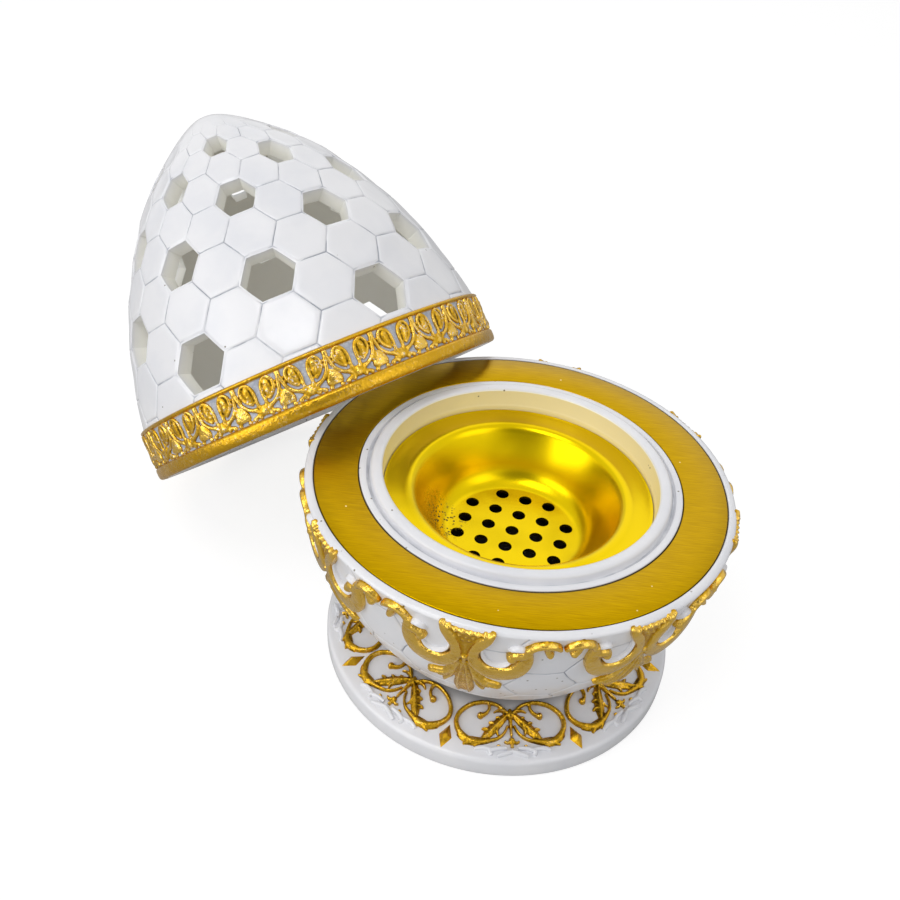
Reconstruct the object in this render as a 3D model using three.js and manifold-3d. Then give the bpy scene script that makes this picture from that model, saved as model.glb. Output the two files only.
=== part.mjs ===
// A mabkhara: a footed incense burner of cast resin, pearl white with gilded relief.
// A loose honeycomb lid leans against the bowl, with its rim on the table behind it.
// A perforated metal cup for charcoal hangs in the bowl's collar, inside a flat ring plate.
// Millimetres, +Z up. The origin is the centre of the felt under the foot, on the table.
import * as THREE from "three";
import { mergeVertices } from "three/addons/utils/BufferGeometryUtils.js";
import Module from "manifold-3d";

const wasm = await Module();
wasm.setup();

// Turned surfaces and the clearances between pieces
const TURN_STEPS = 36;
const WELD_DISTANCE = 0.0001;
const CAST_GAP = 0.3;
const CUT_OVERRUN = 2;

// Bowl, outside
const BOWL_RADIUS = 50;
const LAND_Z = 54.6;
const NECK_Z = 10.6;
const NECK_RADIUS = 25;
const SOCKET_RADIUS = 10;
const SOCKET_DEPTH = 3;

// Top of the bowl, from its edge inwards: land, ring plate, lip, groove, collar, ledge for the cup
const LAND_WIDTH = 2.4;
const PLATE_WIDTH = 10;
const PLATE_THICKNESS = 0.8;
const LIP_WIDTH = 1.5;
const LIP_HEIGHT = 0.2;
const GROOVE_WIDTH = 1;
const GROOVE_DROP = 0.7;
const COLLAR_WIDTH = 2.8;
const COLLAR_RISE = 1.4;
const LEDGE_WIDTH = 3;
const CAVITY_FLOOR_Z = 22;
const CAVITY_CORNER = 5;

// Charcoal cup, spun from sheet
const SHEET = 0.8;
const FLANGE_DROP = 4.7;
const FLANGE_WIDTH = 5.9;
const CUP_TAPER = 7.3;
const CUP_DEPTH = 13.9;
const CUP_CORNER = 4.5;
const CUP_ROLL = 0.7;
const CUP_CLEARANCE = 0.4;
const HOLE_PITCH_SHARE = 0.326;
const HOLE_RADIUS_SHARE = 0.267;
const HOLE_GRID = 5;
const HOLE_SIDES = 6;
const HOLE_ROW_TURN = -15.1;

// Foot and its felt
const FOOT_RADIUS = 44;
const FOOT_EDGE_Z = 4.4;
const FOOT_EDGE_ROUND = 1.1;
const FOOT_LIFT = 0.3;
const FELT_MARGIN = 5;
const FELT_THICKNESS = 1;

// Lid: its rim is a little narrower than the bowl, and its bore clears the bowl's lip
const LID_SETBACK = 0.4;
const LID_HEIGHT = 86.2;
const LID_WALL = 4.4;
const LID_CLEARANCE = 1.8;
const LID_FLANGE = 3.5;
const BAND_HEIGHT = 13.6;
const BAND_THICKNESS = 1.8;
const BAND_TOP_INSET = 0.3;
const BAND_MOULDING = 3.2;
const BAND_RECESS = 0.6;
const BAND_CHAMFER = 0.7;
const BAND_LINE = 0.7;

// Honeycomb of the lid: columns on meridians, each next column half a cell lower
const CELL_COLUMNS = 24;
const FIRST_ROW = 8.2;
const FIRST_PITCH = 13.35;
const ROW_SHARE = 0.935;
const OPEN_ROWS = 6;
const RIB = 0.8;
const FIRST_OPEN_COLUMN = -120;

// How the lid leans at rest: the share is how far up its bore the lid meets the bowl's edge
const LEAN_AZIMUTH = 135;
const LEAN_SHARE = 0.766;
const LEAN_SIDEWAYS = 4.2;
const TABLE_GAP = 0.1;
const LEAN_GAP = 0.4;

// Relief: modelled flat, cut into facets of this size at most, then bent onto its surface
const RELIEF_FACET = 8;
const MOTIFS = 8;
const SCROLL_TURN = -101.5;
const SCROLL_DROP = 27;
const SCROLL_BAND = 5.2;
const SCROLL_HEIGHT = 1.5;
const PALMETTE_TURN = -83.5;
const PALMETTE_NECK_GAP = 4;
const PALMETTE_EDGE_GAP = 3.5;
const PALMETTE_BAND = 2.4;
const PALMETTE_HEIGHT = 1.1;
const STUD_EDGE_GAP = 4;
const STUD_LENGTH = 6.2;
const STUD_WIDTH = 3.6;
const STUD_HEIGHT = 1.5;

const FULL_TURN = 2 * Math.PI;
const DEGREE = Math.PI / 180;

// Shares of the way out from the neck to the bowl's radius, and up from the neck to the land
const bowlOutsideShares = [
  [1, 1], [0.968, 0.941], [0.94, 0.85], [0.904, 0.736], [0.856, 0.623], [0.784, 0.509],
  [0.688, 0.395], [0.568, 0.282], [0.436, 0.168], [0.28, 0.066], [0.14, 0.01],
];

// Shares of the way out from the neck to the foot's edge, and up from that edge to the neck
const footTopShares = [[0.168, 0.66], [0.447, 0.36], [0.726, 0.16]];

// Shares of the lid's radius and of its height
const domeShares = [
  [0.98, 0.158], [0.933, 0.28], [0.872, 0.405], [0.786, 0.53], [0.674, 0.65], [0.534, 0.77],
  [0.411, 0.847], [0.26, 0.922], [0.149, 0.974], [0, 1],
];

// Bowl relief: across as shares of half the pitch, down as shares of the drop, and width as shares of the band
const scrollShares = [
  [0.22, 0.05, 0.16], [0.16, 0.19, 0.42], [0.11, 0.31, 0.5], [0.17, 0.42, 0.68], [0.3, 0.495, 0.9],
  [0.45, 0.49, 0.95], [0.58, 0.42, 0.75], [0.65, 0.31, 0.55], [0.66, 0.2, 0.4], [0.66, 0.11, 0.35],
];
const voluteShares = [[0.65, 0.15, 0.3], [0.56, 0.16, 0.4], [0.47, 0.195, 0.5], [0.46, 0.26, 0.3]];
const waveShares = [[0.655, 0.13, 0.35], [0.7, 0.065, 0.3], [0.78, 0.06, 0.35], [0.88, 0.12, 0.5]];
const sideLeafShares = [[0.02, 0.38, 0.15], [0.09, 0.56, 0.4], [0.21, 0.69, 0.6], [0.34, 0.73, 0.55], [0.45, 0.67, 0.12]];
const stemShares = [
  [0.2, 0.02], [0.1, 0.2], [0.08, 0.34], [0.06, 0.42], [0.06, 0.6], [0.135, 0.96], [0, 1],
];

// Foot relief: across as shares of half the pitch, out as shares from the inner to the outer radius
const footScrollShares = [
  [-0.52, 0.34, 0.6], [-0.41, 0.27, 0.45], [-0.43, 0.09, 0.45], [-0.6, 0.02, 0.5], [-0.82, 0.14, 0.5],
  [-0.93, 0.36, 0.5], [-0.9, 0.6, 0.5], [-0.74, 0.82, 0.55], [-0.52, 0.92, 0.7], [-0.33, 0.86, 0.75],
  [-0.13, 0.64, 0.5], [-0.02, 0.32, 0.4],
];
const footLeafShares = [[-0.02, 0.3, 0.4], [-0.2, 0.32, 0.6], [-0.34, 0.48, 0.95], [-0.45, 0.68, 0.85], [-0.52, 0.92, 0.5]];
const footStemShares = [[0, 0.2, 0.5], [0, 0.5, 0.35], [0, 0.8, 0.5], [0, 0.96, 0.8], [0, 1.04, 0.1]];

const finish = {
  resin: { color: 0xe9e9e8, roughness: 0.35, metalness: 0 },
  gilding: { color: 0xc8992a, roughness: 0.35, metalness: 0.9 },
  plate: { color: 0xb88a10, roughness: 0.35, metalness: 1 },
  cup: { color: 0xe0bd1c, roughness: 0.25, metalness: 1 },
  felt: { color: 0x2b2a28, roughness: 1, metalness: 0 },
};

const part = new THREE.Group();

function addPiece(parent, name, geometry, look) {
  const mesh = new THREE.Mesh(geometry, new THREE.MeshStandardMaterial(look));
  mesh.name = name;
  parent.add(mesh);
  return mesh;
}

// Merges shared corners and drops the triangles that vanish on the axis.
function weld(geometry) {
  const bare = geometry.clone();
  bare.deleteAttribute("normal");
  bare.deleteAttribute("uv");
  const merged = mergeVertices(bare, WELD_DISTANCE);
  const corners = merged.index.array;
  const kept = [];
  for (let i = 0; i < corners.length; i += 3) {
    const [a, b, c] = corners.slice(i, i + 3);
    if (a !== b && b !== c && c !== a) kept.push(a, b, c);
  }
  merged.setIndex(kept);
  return merged;
}

function toSolid(geometry) {
  const welded = weld(geometry);
  const vertProperties = new Float32Array(welded.attributes.position.array);
  const triVerts = new Uint32Array(welded.index.array);
  return new wasm.Manifold(new wasm.Mesh({ numProp: 3, vertProperties, triVerts }));
}

function toGeometry(solid) {
  const { vertProperties, triVerts } = solid.getMesh();
  const geometry = new THREE.BufferGeometry();
  geometry.setAttribute("position", new THREE.BufferAttribute(vertProperties, 3));
  geometry.setIndex(new THREE.BufferAttribute(triVerts, 1));
  return geometry;
}

// Turns a closed profile of [radius, height] points about +Z. The points run up the outside.
function turned(profile) {
  const points = profile.map(([radius, height]) => new THREE.Vector2(radius, height));
  const geometry = new THREE.LatheGeometry(points, TURN_STEPS);
  geometry.rotateX(Math.PI / 2);
  return weld(geometry);
}

function arcPoints(centreRadius, centreHeight, size, fromDegrees, toDegrees, steps) {
  const points = [];
  for (let i = 0; i <= steps; i++) {
    const angle = (fromDegrees + (toDegrees - fromDegrees) * i / steps) * DEGREE;
    points.push([centreRadius + size * Math.cos(angle), centreHeight + size * Math.sin(angle)]);
  }
  return points;
}

// The point and outward normal at a distance along a polyline of [radius, height] points.
function alongProfile(profile, distance) {
  let left = distance;
  for (let i = 1; i < profile.length; i++) {
    const [r0, z0] = profile[i - 1];
    const [r1, z1] = profile[i];
    const length = Math.hypot(r1 - r0, z1 - z0);
    if (left <= length || i === profile.length - 1) {
      const share = left / length;
      const along = [(r1 - r0) / length, (z1 - z0) / length];
      return { radius: r0 + (r1 - r0) * share, height: z0 + (z1 - z0) * share, along };
    }
    left -= length;
  }
  throw new Error("empty profile");
}

// Bowl
const bowlOutside = bowlOutsideShares.map(([radiusShare, heightShare]) => [
  NECK_RADIUS + (BOWL_RADIUS - NECK_RADIUS) * radiusShare,
  NECK_Z + (LAND_Z - NECK_Z) * heightShare,
]);
const plateOuterRadius = BOWL_RADIUS - LAND_WIDTH;
const plateInnerRadius = plateOuterRadius - PLATE_WIDTH;
const plateSeatZ = LAND_Z - PLATE_THICKNESS;
const lipRadius = plateInnerRadius - CAST_GAP;
const grooveRadius = lipRadius - LIP_WIDTH;
const collarRadius = grooveRadius - GROOVE_WIDTH;
const boreRadius = collarRadius - COLLAR_WIDTH;
const cavityRadius = boreRadius - LEDGE_WIDTH;
const flangeZ = LAND_Z - FLANGE_DROP;
const ledgeZ = flangeZ - SHEET;

function bowlGeometry() {
  const grooveZ = LAND_Z - GROOVE_DROP;
  const collarTopZ = LAND_Z + COLLAR_RISE;
  const socketTop = NECK_Z + SOCKET_DEPTH;
  const cornerRadius = cavityRadius - CAVITY_CORNER;
  const cornerZ = CAVITY_FLOOR_Z + CAVITY_CORNER;
  return turned([
    [0, socketTop], [SOCKET_RADIUS, socketTop], [SOCKET_RADIUS, NECK_Z], [NECK_RADIUS, NECK_Z],
    ...bowlOutside.slice().reverse(),
    [plateOuterRadius + CAST_GAP, LAND_Z], [plateOuterRadius + CAST_GAP, plateSeatZ],
    [lipRadius, plateSeatZ], [lipRadius, LAND_Z + LIP_HEIGHT], [grooveRadius, LAND_Z + LIP_HEIGHT],
    [grooveRadius, grooveZ], [collarRadius, grooveZ], [collarRadius, collarTopZ],
    [boreRadius, collarTopZ], [boreRadius, ledgeZ], [cavityRadius, ledgeZ],
    ...arcPoints(cornerRadius, cornerZ, CAVITY_CORNER, 0, -90, 3),
    [0, CAVITY_FLOOR_Z],
  ]);
}

function ringPlateGeometry() {
  return turned([
    [plateInnerRadius, plateSeatZ], [plateOuterRadius, plateSeatZ],
    [plateOuterRadius, LAND_Z], [plateInnerRadius, LAND_Z], [plateInnerRadius, plateSeatZ],
  ]);
}

// Foot: its underside is recessed for the felt, and its spigot enters the bowl's socket.
const footEdgeRadius = FOOT_RADIUS - FOOT_EDGE_ROUND;
const footEdgeTop = FOOT_EDGE_Z + FOOT_EDGE_ROUND;
const footTop = [
  [NECK_RADIUS, NECK_Z],
  ...footTopShares.map(([radiusShare, heightShare]) => [
    NECK_RADIUS + (footEdgeRadius - NECK_RADIUS) * radiusShare,
    footEdgeTop + (NECK_Z - footEdgeTop) * heightShare,
  ]),
  [footEdgeRadius, footEdgeTop],
];
const feltRadius = FOOT_RADIUS - FELT_MARGIN;

function footGeometry() {
  const spigotRadius = SOCKET_RADIUS - CAST_GAP;
  const spigotTop = NECK_Z + SOCKET_DEPTH - CAST_GAP;
  const edge = arcPoints(footEdgeRadius, FOOT_EDGE_Z, FOOT_EDGE_ROUND, 0, 90, 2);
  return turned([
    [0, FELT_THICKNESS], [feltRadius + CAST_GAP, FELT_THICKNESS], [feltRadius + CAST_GAP, FOOT_LIFT],
    [FOOT_RADIUS - FOOT_LIFT, FOOT_LIFT], [FOOT_RADIUS, FOOT_LIFT + FOOT_LIFT],
    ...edge, ...footTop.slice(0, -1).reverse(),
    [spigotRadius, NECK_Z], [spigotRadius, spigotTop], [0, spigotTop],
  ]);
}

function feltGeometry() {
  return turned([[0, 0], [feltRadius, 0], [feltRadius, FELT_THICKNESS], [0, FELT_THICKNESS]]);
}

// Charcoal cup: a flat flange, a rolled mouth, a tapering wall and a flat floor with a grid of holes
const flangeRadius = boreRadius - CUP_CLEARANCE;
const cupMouthRadius = flangeRadius - FLANGE_WIDTH;
const cupFloorRadius = cupMouthRadius - CUP_TAPER;
const cupFloorZ = flangeZ - CUP_DEPTH;

function cupSection() {
  const cornerZ = cupFloorZ + CUP_CORNER;
  const inside = [
    ...arcPoints(cupFloorRadius, cornerZ, CUP_CORNER, -90, -15, 3),
    [cupMouthRadius - SHEET, flangeZ - CUP_ROLL], [cupMouthRadius, flangeZ],
  ];
  const outside = [
    [cupMouthRadius + SHEET, ledgeZ], [cupMouthRadius, ledgeZ - CUP_ROLL],
    ...arcPoints(cupFloorRadius, cornerZ, CUP_CORNER + SHEET, -15, -90, 3),
  ];
  return [
    [0, cupFloorZ - SHEET], ...outside.slice().reverse(),
    [flangeRadius, ledgeZ], [flangeRadius, flangeZ],
    ...inside.slice().reverse(), [0, cupFloorZ],
  ];
}

function cupGeometry() {
  let cup = toSolid(turned(cupSection()));
  const middle = (HOLE_GRID - 1) / 2;
  const length = SHEET + 2 * CUT_OVERRUN;
  const pitch = cupFloorRadius * HOLE_PITCH_SHARE;
  const radius = pitch * HOLE_RADIUS_SHARE;
  for (let row = 0; row < HOLE_GRID; row++) {
    for (let column = 0; column < HOLE_GRID; column++) {
      const corner = Math.abs(row - middle) === middle && Math.abs(column - middle) === middle;
      if (corner) continue;
      const hole = new THREE.CylinderGeometry(radius, radius, length, HOLE_SIDES);
      hole.rotateX(Math.PI / 2);
      hole.translate((column - middle) * pitch, (row - middle) * pitch, cupFloorZ - SHEET / 2);
      hole.rotateZ(HOLE_ROW_TURN * DEGREE);
      cup = cup.subtract(toSolid(hole));
    }
  }
  return toGeometry(cup);
}

// Lid: a shell under the band, stepping out to the full dome above it
const lidRadius = BOWL_RADIUS - LID_SETBACK;
const lidBoreRadius = plateInnerRadius + LID_CLEARANCE;
const domeOutside = domeShares.map(([radiusShare, heightShare]) => [lidRadius * radiusShare, LID_HEIGHT * heightShare]);
const bandInnerRadius = lidRadius - BAND_THICKNESS;

// The dome's outline moved in by the wall; the points near the top that would cross the axis are left out.
function domeInside() {
  const points = [];
  for (let i = 1; i < domeOutside.length - 1; i += 2) {
    const [r0, z0] = domeOutside[i - 1];
    const [r1, z1] = domeOutside[i + 1];
    const length = Math.hypot(r1 - r0, z1 - z0);
    const radius = domeOutside[i][0] - LID_WALL * (z1 - z0) / length;
    const height = domeOutside[i][1] + LID_WALL * (r1 - r0) / length;
    if (radius > LID_WALL) points.push([radius, height]);
  }
  return points;
}

function domeShell() {
  const underBand = bandInnerRadius - CAST_GAP;
  const stepZ = BAND_HEIGHT + CAST_GAP;
  const wallRadius = underBand - LID_WALL;
  return turned([
    [lidBoreRadius, 0], [underBand, 0], [underBand, stepZ], [domeOutside[0][0], stepZ],
    ...domeOutside.slice(1),
    [0, LID_HEIGHT - LID_WALL], ...domeInside().reverse(),
    [wallRadius, LID_FLANGE], [lidBoreRadius, LID_FLANGE], [lidBoreRadius, 0],
  ]);
}

// A hexagonal cutter that stands square to the dome's surface at the middle of a cell.
function cellCutter(distance, cellHeight, azimuth) {
  const spot = alongProfile(domeOutside, distance);
  const halfHeight = cellHeight / 2 - RIB / 2;
  const columnWidth = FULL_TURN * spot.radius / CELL_COLUMNS;
  const halfFlat = columnWidth / 3 - RIB / 4;
  const halfWidth = 2 * columnWidth / 3 - RIB / 2;
  const outline = new THREE.Shape([
    new THREE.Vector2(halfWidth, 0), new THREE.Vector2(halfFlat, halfHeight),
    new THREE.Vector2(-halfFlat, halfHeight), new THREE.Vector2(-halfWidth, 0),
    new THREE.Vector2(-halfFlat, -halfHeight), new THREE.Vector2(halfFlat, -halfHeight),
  ]);
  const depth = LID_WALL + 2 * CUT_OVERRUN;
  const cutter = new THREE.ExtrudeGeometry(outline, { depth, bevelEnabled: false });
  cutter.translate(0, 0, CUT_OVERRUN - depth);
  const [alongR, alongZ] = spot.along;
  const [c, s] = [Math.cos(azimuth), Math.sin(azimuth)];
  const across = new THREE.Vector3(-s, c, 0);
  const up = new THREE.Vector3(alongR * c, alongR * s, alongZ);
  const out = new THREE.Vector3(alongZ * c, alongZ * s, -alongR);
  const placing = new THREE.Matrix4().makeBasis(across, up, out);
  placing.setPosition(spot.radius * c, spot.radius * s, spot.height);
  cutter.applyMatrix4(placing);
  return cutter;
}

// Every second column has open cells in every second row, staggered between those columns.
function domeGeometry() {
  let dome = toSolid(domeShell());
  const openColumns = CELL_COLUMNS / 2;
  let distance = FIRST_ROW;
  let pitch = FIRST_PITCH;
  for (let row = 0; row < OPEN_ROWS; row++) {
    const cellHeight = (pitch + pitch / ROW_SHARE) / 2;
    for (let k = 0; k < openColumns; k++) {
      const open = (k + row) % 2 === 1;
      if (!open) continue;
      const azimuth = (FIRST_OPEN_COLUMN + 360 * k / openColumns) * DEGREE;
      dome = dome.subtract(toSolid(cellCutter(distance, cellHeight, azimuth)));
    }
    distance += pitch;
    pitch *= ROW_SHARE;
  }
  return toGeometry(dome);
}

function bandGeometry() {
  const topRadius = lidRadius - BAND_TOP_INSET;
  return turned([
    [bandInnerRadius, 0], [lidRadius - BAND_CHAMFER, 0], [lidRadius, BAND_CHAMFER],
    [lidRadius, BAND_MOULDING - BAND_RECESS], [lidRadius - BAND_RECESS, BAND_MOULDING],
    [topRadius - BAND_RECESS, BAND_HEIGHT - BAND_LINE - BAND_RECESS], [topRadius, BAND_HEIGHT - BAND_LINE],
    [topRadius, BAND_HEIGHT], [bandInnerRadius, BAND_HEIGHT], [bandInnerRadius, 0],
  ]);
}

// The leaning lid: its rim's lowest corner is just over the table, and the edge of its bore
// lies just off the bowl's edge at one of the two places where that edge enters the bore.
function leaningLid() {
  const reach = lidBoreRadius - LEAN_GAP;
  const rise = (LAND_Z - TABLE_GAP) / (lidRadius + LEAN_SHARE * reach);
  const tilt = Math.asin(rise);
  const run = Math.cos(tilt);
  const lowCorner = Math.max(
    (lidRadius - BAND_CHAMFER) * rise,
    lidRadius * rise - BAND_CHAMFER * run,
  );
  const centreZ = TABLE_GAP + lowCorner;
  const upSlope = (LAND_Z - centreZ) / rise;
  const boreHalfChord = Math.sqrt(reach ** 2 - upSlope ** 2);
  const bowlHalfChord = boreHalfChord - LEAN_SIDEWAYS;
  const outward = Math.sqrt(BOWL_RADIUS ** 2 - bowlHalfChord ** 2) + upSlope * run;
  const place = new THREE.Group();
  place.rotation.z = (LEAN_AZIMUTH - 90) * DEGREE;
  const lean = new THREE.Group();
  lean.position.set(-LEAN_SIDEWAYS, outward, centreZ);
  lean.rotation.x = -tilt;
  place.add(lean);
  part.add(place);
  return lean;
}

// A raised strip of changing width along a smooth line through [across, down, width] points.
function strip(points, steps, height) {
  const line = new THREE.SplineCurve(points.map(([across, down]) => new THREE.Vector2(across, down)));
  const widths = new THREE.SplineCurve(points.map(([, , width], i) => new THREE.Vector2(i, width)));
  const left = [];
  const right = [];
  for (let i = 0; i <= steps; i++) {
    const spot = line.getPoint(i / steps);
    const direction = line.getTangent(i / steps);
    const half = widths.getPoint(i / steps).y / 2;
    left.push(new THREE.Vector2(spot.x - direction.y * half, spot.y + direction.x * half));
    right.push(new THREE.Vector2(spot.x + direction.y * half, spot.y - direction.x * half));
  }
  return raised(left.concat(right.reverse()), height);
}

function raised(outline, height) {
  return toSolid(new THREE.ExtrudeGeometry(new THREE.Shape(outline), { depth: height, bevelEnabled: false }));
}

function mirrored(points) {
  return points.map(([across, ...rest]) => [-across, ...rest]);
}

function joined(solids) {
  return solids.reduce((whole, solid) => whole.add(solid)).refineToLength(RELIEF_FACET);
}

// Bends a flat relief onto a surface: bend gives the place of (across, up, out).
function bent(solid, bend) {
  const geometry = toGeometry(solid);
  const position = geometry.attributes.position;
  for (let i = 0; i < position.count; i++) {
    position.setXYZ(i, ...bend(position.getX(i), position.getY(i), position.getZ(i)));
  }
  return geometry;
}

function onProfile(profile, distance, azimuth, out) {
  const { radius, height, along } = alongProfile(profile, distance);
  const r = radius - along[1] * out;
  const z = height + along[0] * out;
  return [r * Math.cos(azimuth), r * Math.sin(azimuth), z];
}

// The scroll that repeats round the bowl: a flared stem with three leaves, between two open scrolls
function scrollRelief() {
  const halfPitch = Math.PI * BOWL_RADIUS / MOTIFS;
  const sized = (shares) => shares.map(([across, down, width]) => [
    across * halfPitch, -down * SCROLL_DROP, width * SCROLL_BAND,
  ]);
  const stemSide = stemShares.map(([across, down]) => [across * halfPitch, -down * SCROLL_DROP]);
  const stemOutline = [...stemSide, ...mirrored(stemSide).reverse().slice(1)];
  const pieces = [raised(stemOutline.map(([x, y]) => new THREE.Vector2(x, y)), SCROLL_HEIGHT)];
  for (const flip of [(points) => points, mirrored]) {
    pieces.push(strip(flip(sized(scrollShares)), 8, SCROLL_HEIGHT));
    pieces.push(strip(flip(sized(voluteShares)), 4, SCROLL_HEIGHT));
    pieces.push(strip(flip(sized(waveShares)), 3, SCROLL_HEIGHT));
    pieces.push(strip(flip(sized(sideLeafShares)), 4, SCROLL_HEIGHT));
  }
  return joined(pieces);
}

function scrollGeometry(flat, azimuth) {
  return bent(flat, (across, up, out) => (
    onProfile(bowlOutside, -up, azimuth + across / BOWL_RADIUS, CAST_GAP + out)
  ));
}

// The palmette that repeats round the foot: a leaf fan held by two scrolls that touch their neighbours
const palmetteInnerRadius = NECK_RADIUS + PALMETTE_NECK_GAP;
const palmetteOuterRadius = FOOT_RADIUS - PALMETTE_EDGE_GAP;

function palmetteRelief() {
  const halfPitch = Math.PI * palmetteOuterRadius / MOTIFS;
  const reach = palmetteOuterRadius - palmetteInnerRadius;
  const sized = (shares) => shares.map(([across, out, width]) => [
    across * halfPitch, -palmetteInnerRadius - out * reach, width * PALMETTE_BAND,
  ]);
  const pieces = [strip(sized(footStemShares), 3, PALMETTE_HEIGHT)];
  for (const flip of [(points) => points, mirrored]) {
    pieces.push(strip(flip(sized(footScrollShares)), 11, PALMETTE_HEIGHT));
    pieces.push(strip(flip(sized(footLeafShares)), 3, PALMETTE_HEIGHT));
  }
  return joined(pieces);
}

// Distance down the foot's top surface from the neck, at a radius
function footDistance(radius) {
  let distance = 0;
  for (let i = 1; i < footTop.length; i++) {
    const [r0, z0] = footTop[i - 1];
    const [r1, z1] = footTop[i];
    const length = Math.hypot(r1 - r0, z1 - z0);
    if (radius <= r1) return distance + length * (radius - r0) / (r1 - r0);
    distance += length;
  }
  return distance;
}

function palmetteGeometry(flat, azimuth) {
  return bent(flat, (across, up, out) => (
    onProfile(footTop, footDistance(-up), azimuth + across / palmetteOuterRadius, CAST_GAP + out)
  ));
}

// A four-sided pyramid between two palmettes
function studGeometry(azimuth) {
  const stud = new THREE.ConeGeometry(1, STUD_HEIGHT, 4);
  stud.rotateX(Math.PI / 2);
  stud.scale(STUD_WIDTH / 2, STUD_LENGTH / 2, 1);
  const spot = alongProfile(footTop, footDistance(FOOT_RADIUS - STUD_EDGE_GAP));
  const slope = Math.atan2(-spot.along[1], spot.along[0]);
  stud.translate(0, 0, STUD_HEIGHT / 2 + CAST_GAP);
  stud.rotateX(slope);
  stud.translate(0, -spot.radius, spot.height);
  stud.rotateZ(azimuth + Math.PI / 2);
  return weld(stud);
}

function addRing(name, turn, make, look) {
  for (let k = 0; k < MOTIFS; k++) {
    const azimuth = (turn + 360 * k / MOTIFS) * DEGREE;
    addPiece(part, `${name}_${k + 1}`, make(azimuth), look);
  }
}

addPiece(part, "felt_pad", feltGeometry(), finish.felt);
addPiece(part, "pedestal_foot", footGeometry(), finish.resin);
addPiece(part, "bowl", bowlGeometry(), finish.resin);
addPiece(part, "ring_plate", ringPlateGeometry(), finish.plate);
addPiece(part, "charcoal_cup", cupGeometry(), finish.cup);

const flatScroll = scrollRelief();
const flatPalmette = palmetteRelief();
addRing("bowl_scroll", SCROLL_TURN, (azimuth) => scrollGeometry(flatScroll, azimuth), finish.gilding);
addRing("foot_palmette", PALMETTE_TURN, (azimuth) => palmetteGeometry(flatPalmette, azimuth), finish.gilding);
const studTurn = PALMETTE_TURN - 180 / MOTIFS;
addRing("foot_stud", studTurn, studGeometry, finish.gilding);

const lid = leaningLid();
addPiece(lid, "lid_dome", domeGeometry(), finish.resin);
addPiece(lid, "lid_band", bandGeometry(), finish.gilding);

export default part;
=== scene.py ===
"""A mabkhara of cast resin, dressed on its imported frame.

The lid leans behind the footed bowl, and a spun metal cup hangs in the bowl's collar.
Tables and constants are in millimetres, +Z up, with the origin under the felt pad's centre.
Every piece replaces its CAD node and rides on that node's body.
"""
import bisect
import functools
import math

import bmesh
import bpy
from mathutils import Matrix, Vector, noise


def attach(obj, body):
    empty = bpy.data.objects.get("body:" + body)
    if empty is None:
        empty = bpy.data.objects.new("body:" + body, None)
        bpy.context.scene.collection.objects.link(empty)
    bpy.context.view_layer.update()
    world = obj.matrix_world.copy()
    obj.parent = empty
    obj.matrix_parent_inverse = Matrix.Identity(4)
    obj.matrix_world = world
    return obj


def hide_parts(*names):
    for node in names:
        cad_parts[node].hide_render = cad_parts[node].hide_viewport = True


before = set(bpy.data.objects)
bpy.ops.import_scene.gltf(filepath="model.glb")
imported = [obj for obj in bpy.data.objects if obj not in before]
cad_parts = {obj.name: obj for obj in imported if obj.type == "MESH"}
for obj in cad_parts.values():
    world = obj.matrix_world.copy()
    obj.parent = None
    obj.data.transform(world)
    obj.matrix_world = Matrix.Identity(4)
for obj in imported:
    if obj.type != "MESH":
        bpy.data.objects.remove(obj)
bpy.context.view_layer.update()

bl_info = {
    "name": "Mabkhara incense burner",
    "version": (1, 0, 0),
    "blender": (4, 5, 0),
    "location": "View3D > Sidebar > Mabkhara",
    "description": "Models a cast resin incense burner with a pierced lid and gilded relief",
    "category": "Add Mesh",
}

MM = 0.001
# Steps of a full turn, the gap that is welded, and the fold from which an edge is sharp
ROUND_STEPS = 144
WELD = 0.02
SHARP_ANGLE = math.radians(52)

# Profiles of turned surfaces as radius and height

# Bowl outside, from the edge of its land down to its neck
BOWL_OUTSIDE = [
    (50.0, 54.6), (49.2, 52.0), (48.5, 48.0), (47.6, 43.0), (46.4, 38.0), (44.6, 33.0),
    (42.2, 28.0), (39.2, 23.0), (35.9, 18.0), (32.0, 13.5), (28.5, 11.0),
]
# Top of the bowl: rounded edge, seat of the ring plate, lip, groove, collar and its inner wall
BOWL_TOP = [
    (49.7, 53.9), (49.45, 54.3), (49.0, 54.53), (48.4, 54.6), (47.95, 54.6), (47.75, 54.45),
    (47.7, 53.6), (37.5, 53.6), (37.45, 54.5), (37.3, 54.72), (37.05, 54.8), (36.1, 54.8),
    (35.85, 54.7), (35.75, 54.1), (35.55, 53.92), (35.1, 53.9), (34.88, 54.1), (34.8, 55.3),
    (34.65, 55.75), (34.3, 55.97), (33.8, 56.02), (33.0, 56.02), (32.5, 55.95), (32.15, 55.7),
    (32.02, 55.3), (32.0, 51.4), (31.88, 51.2), (31.78, 50.8), (31.75, 50.2), (31.75, 49.1),
]
BOWL_INSIDE = [
    (29.4, 49.1), (29.1, 48.95), (29.0, 48.6), (29.0, 38.0), (29.0, 27.2), (28.4, 24.6),
    (26.6, 22.7), (24.0, 22.0), (12.0, 22.0),
]
BOWL_UNDERSIDE = [(26.4, 10.65), (25.0, 10.6), (10.0, 10.6), (10.0, 13.6), (4.0, 13.6)]

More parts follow.
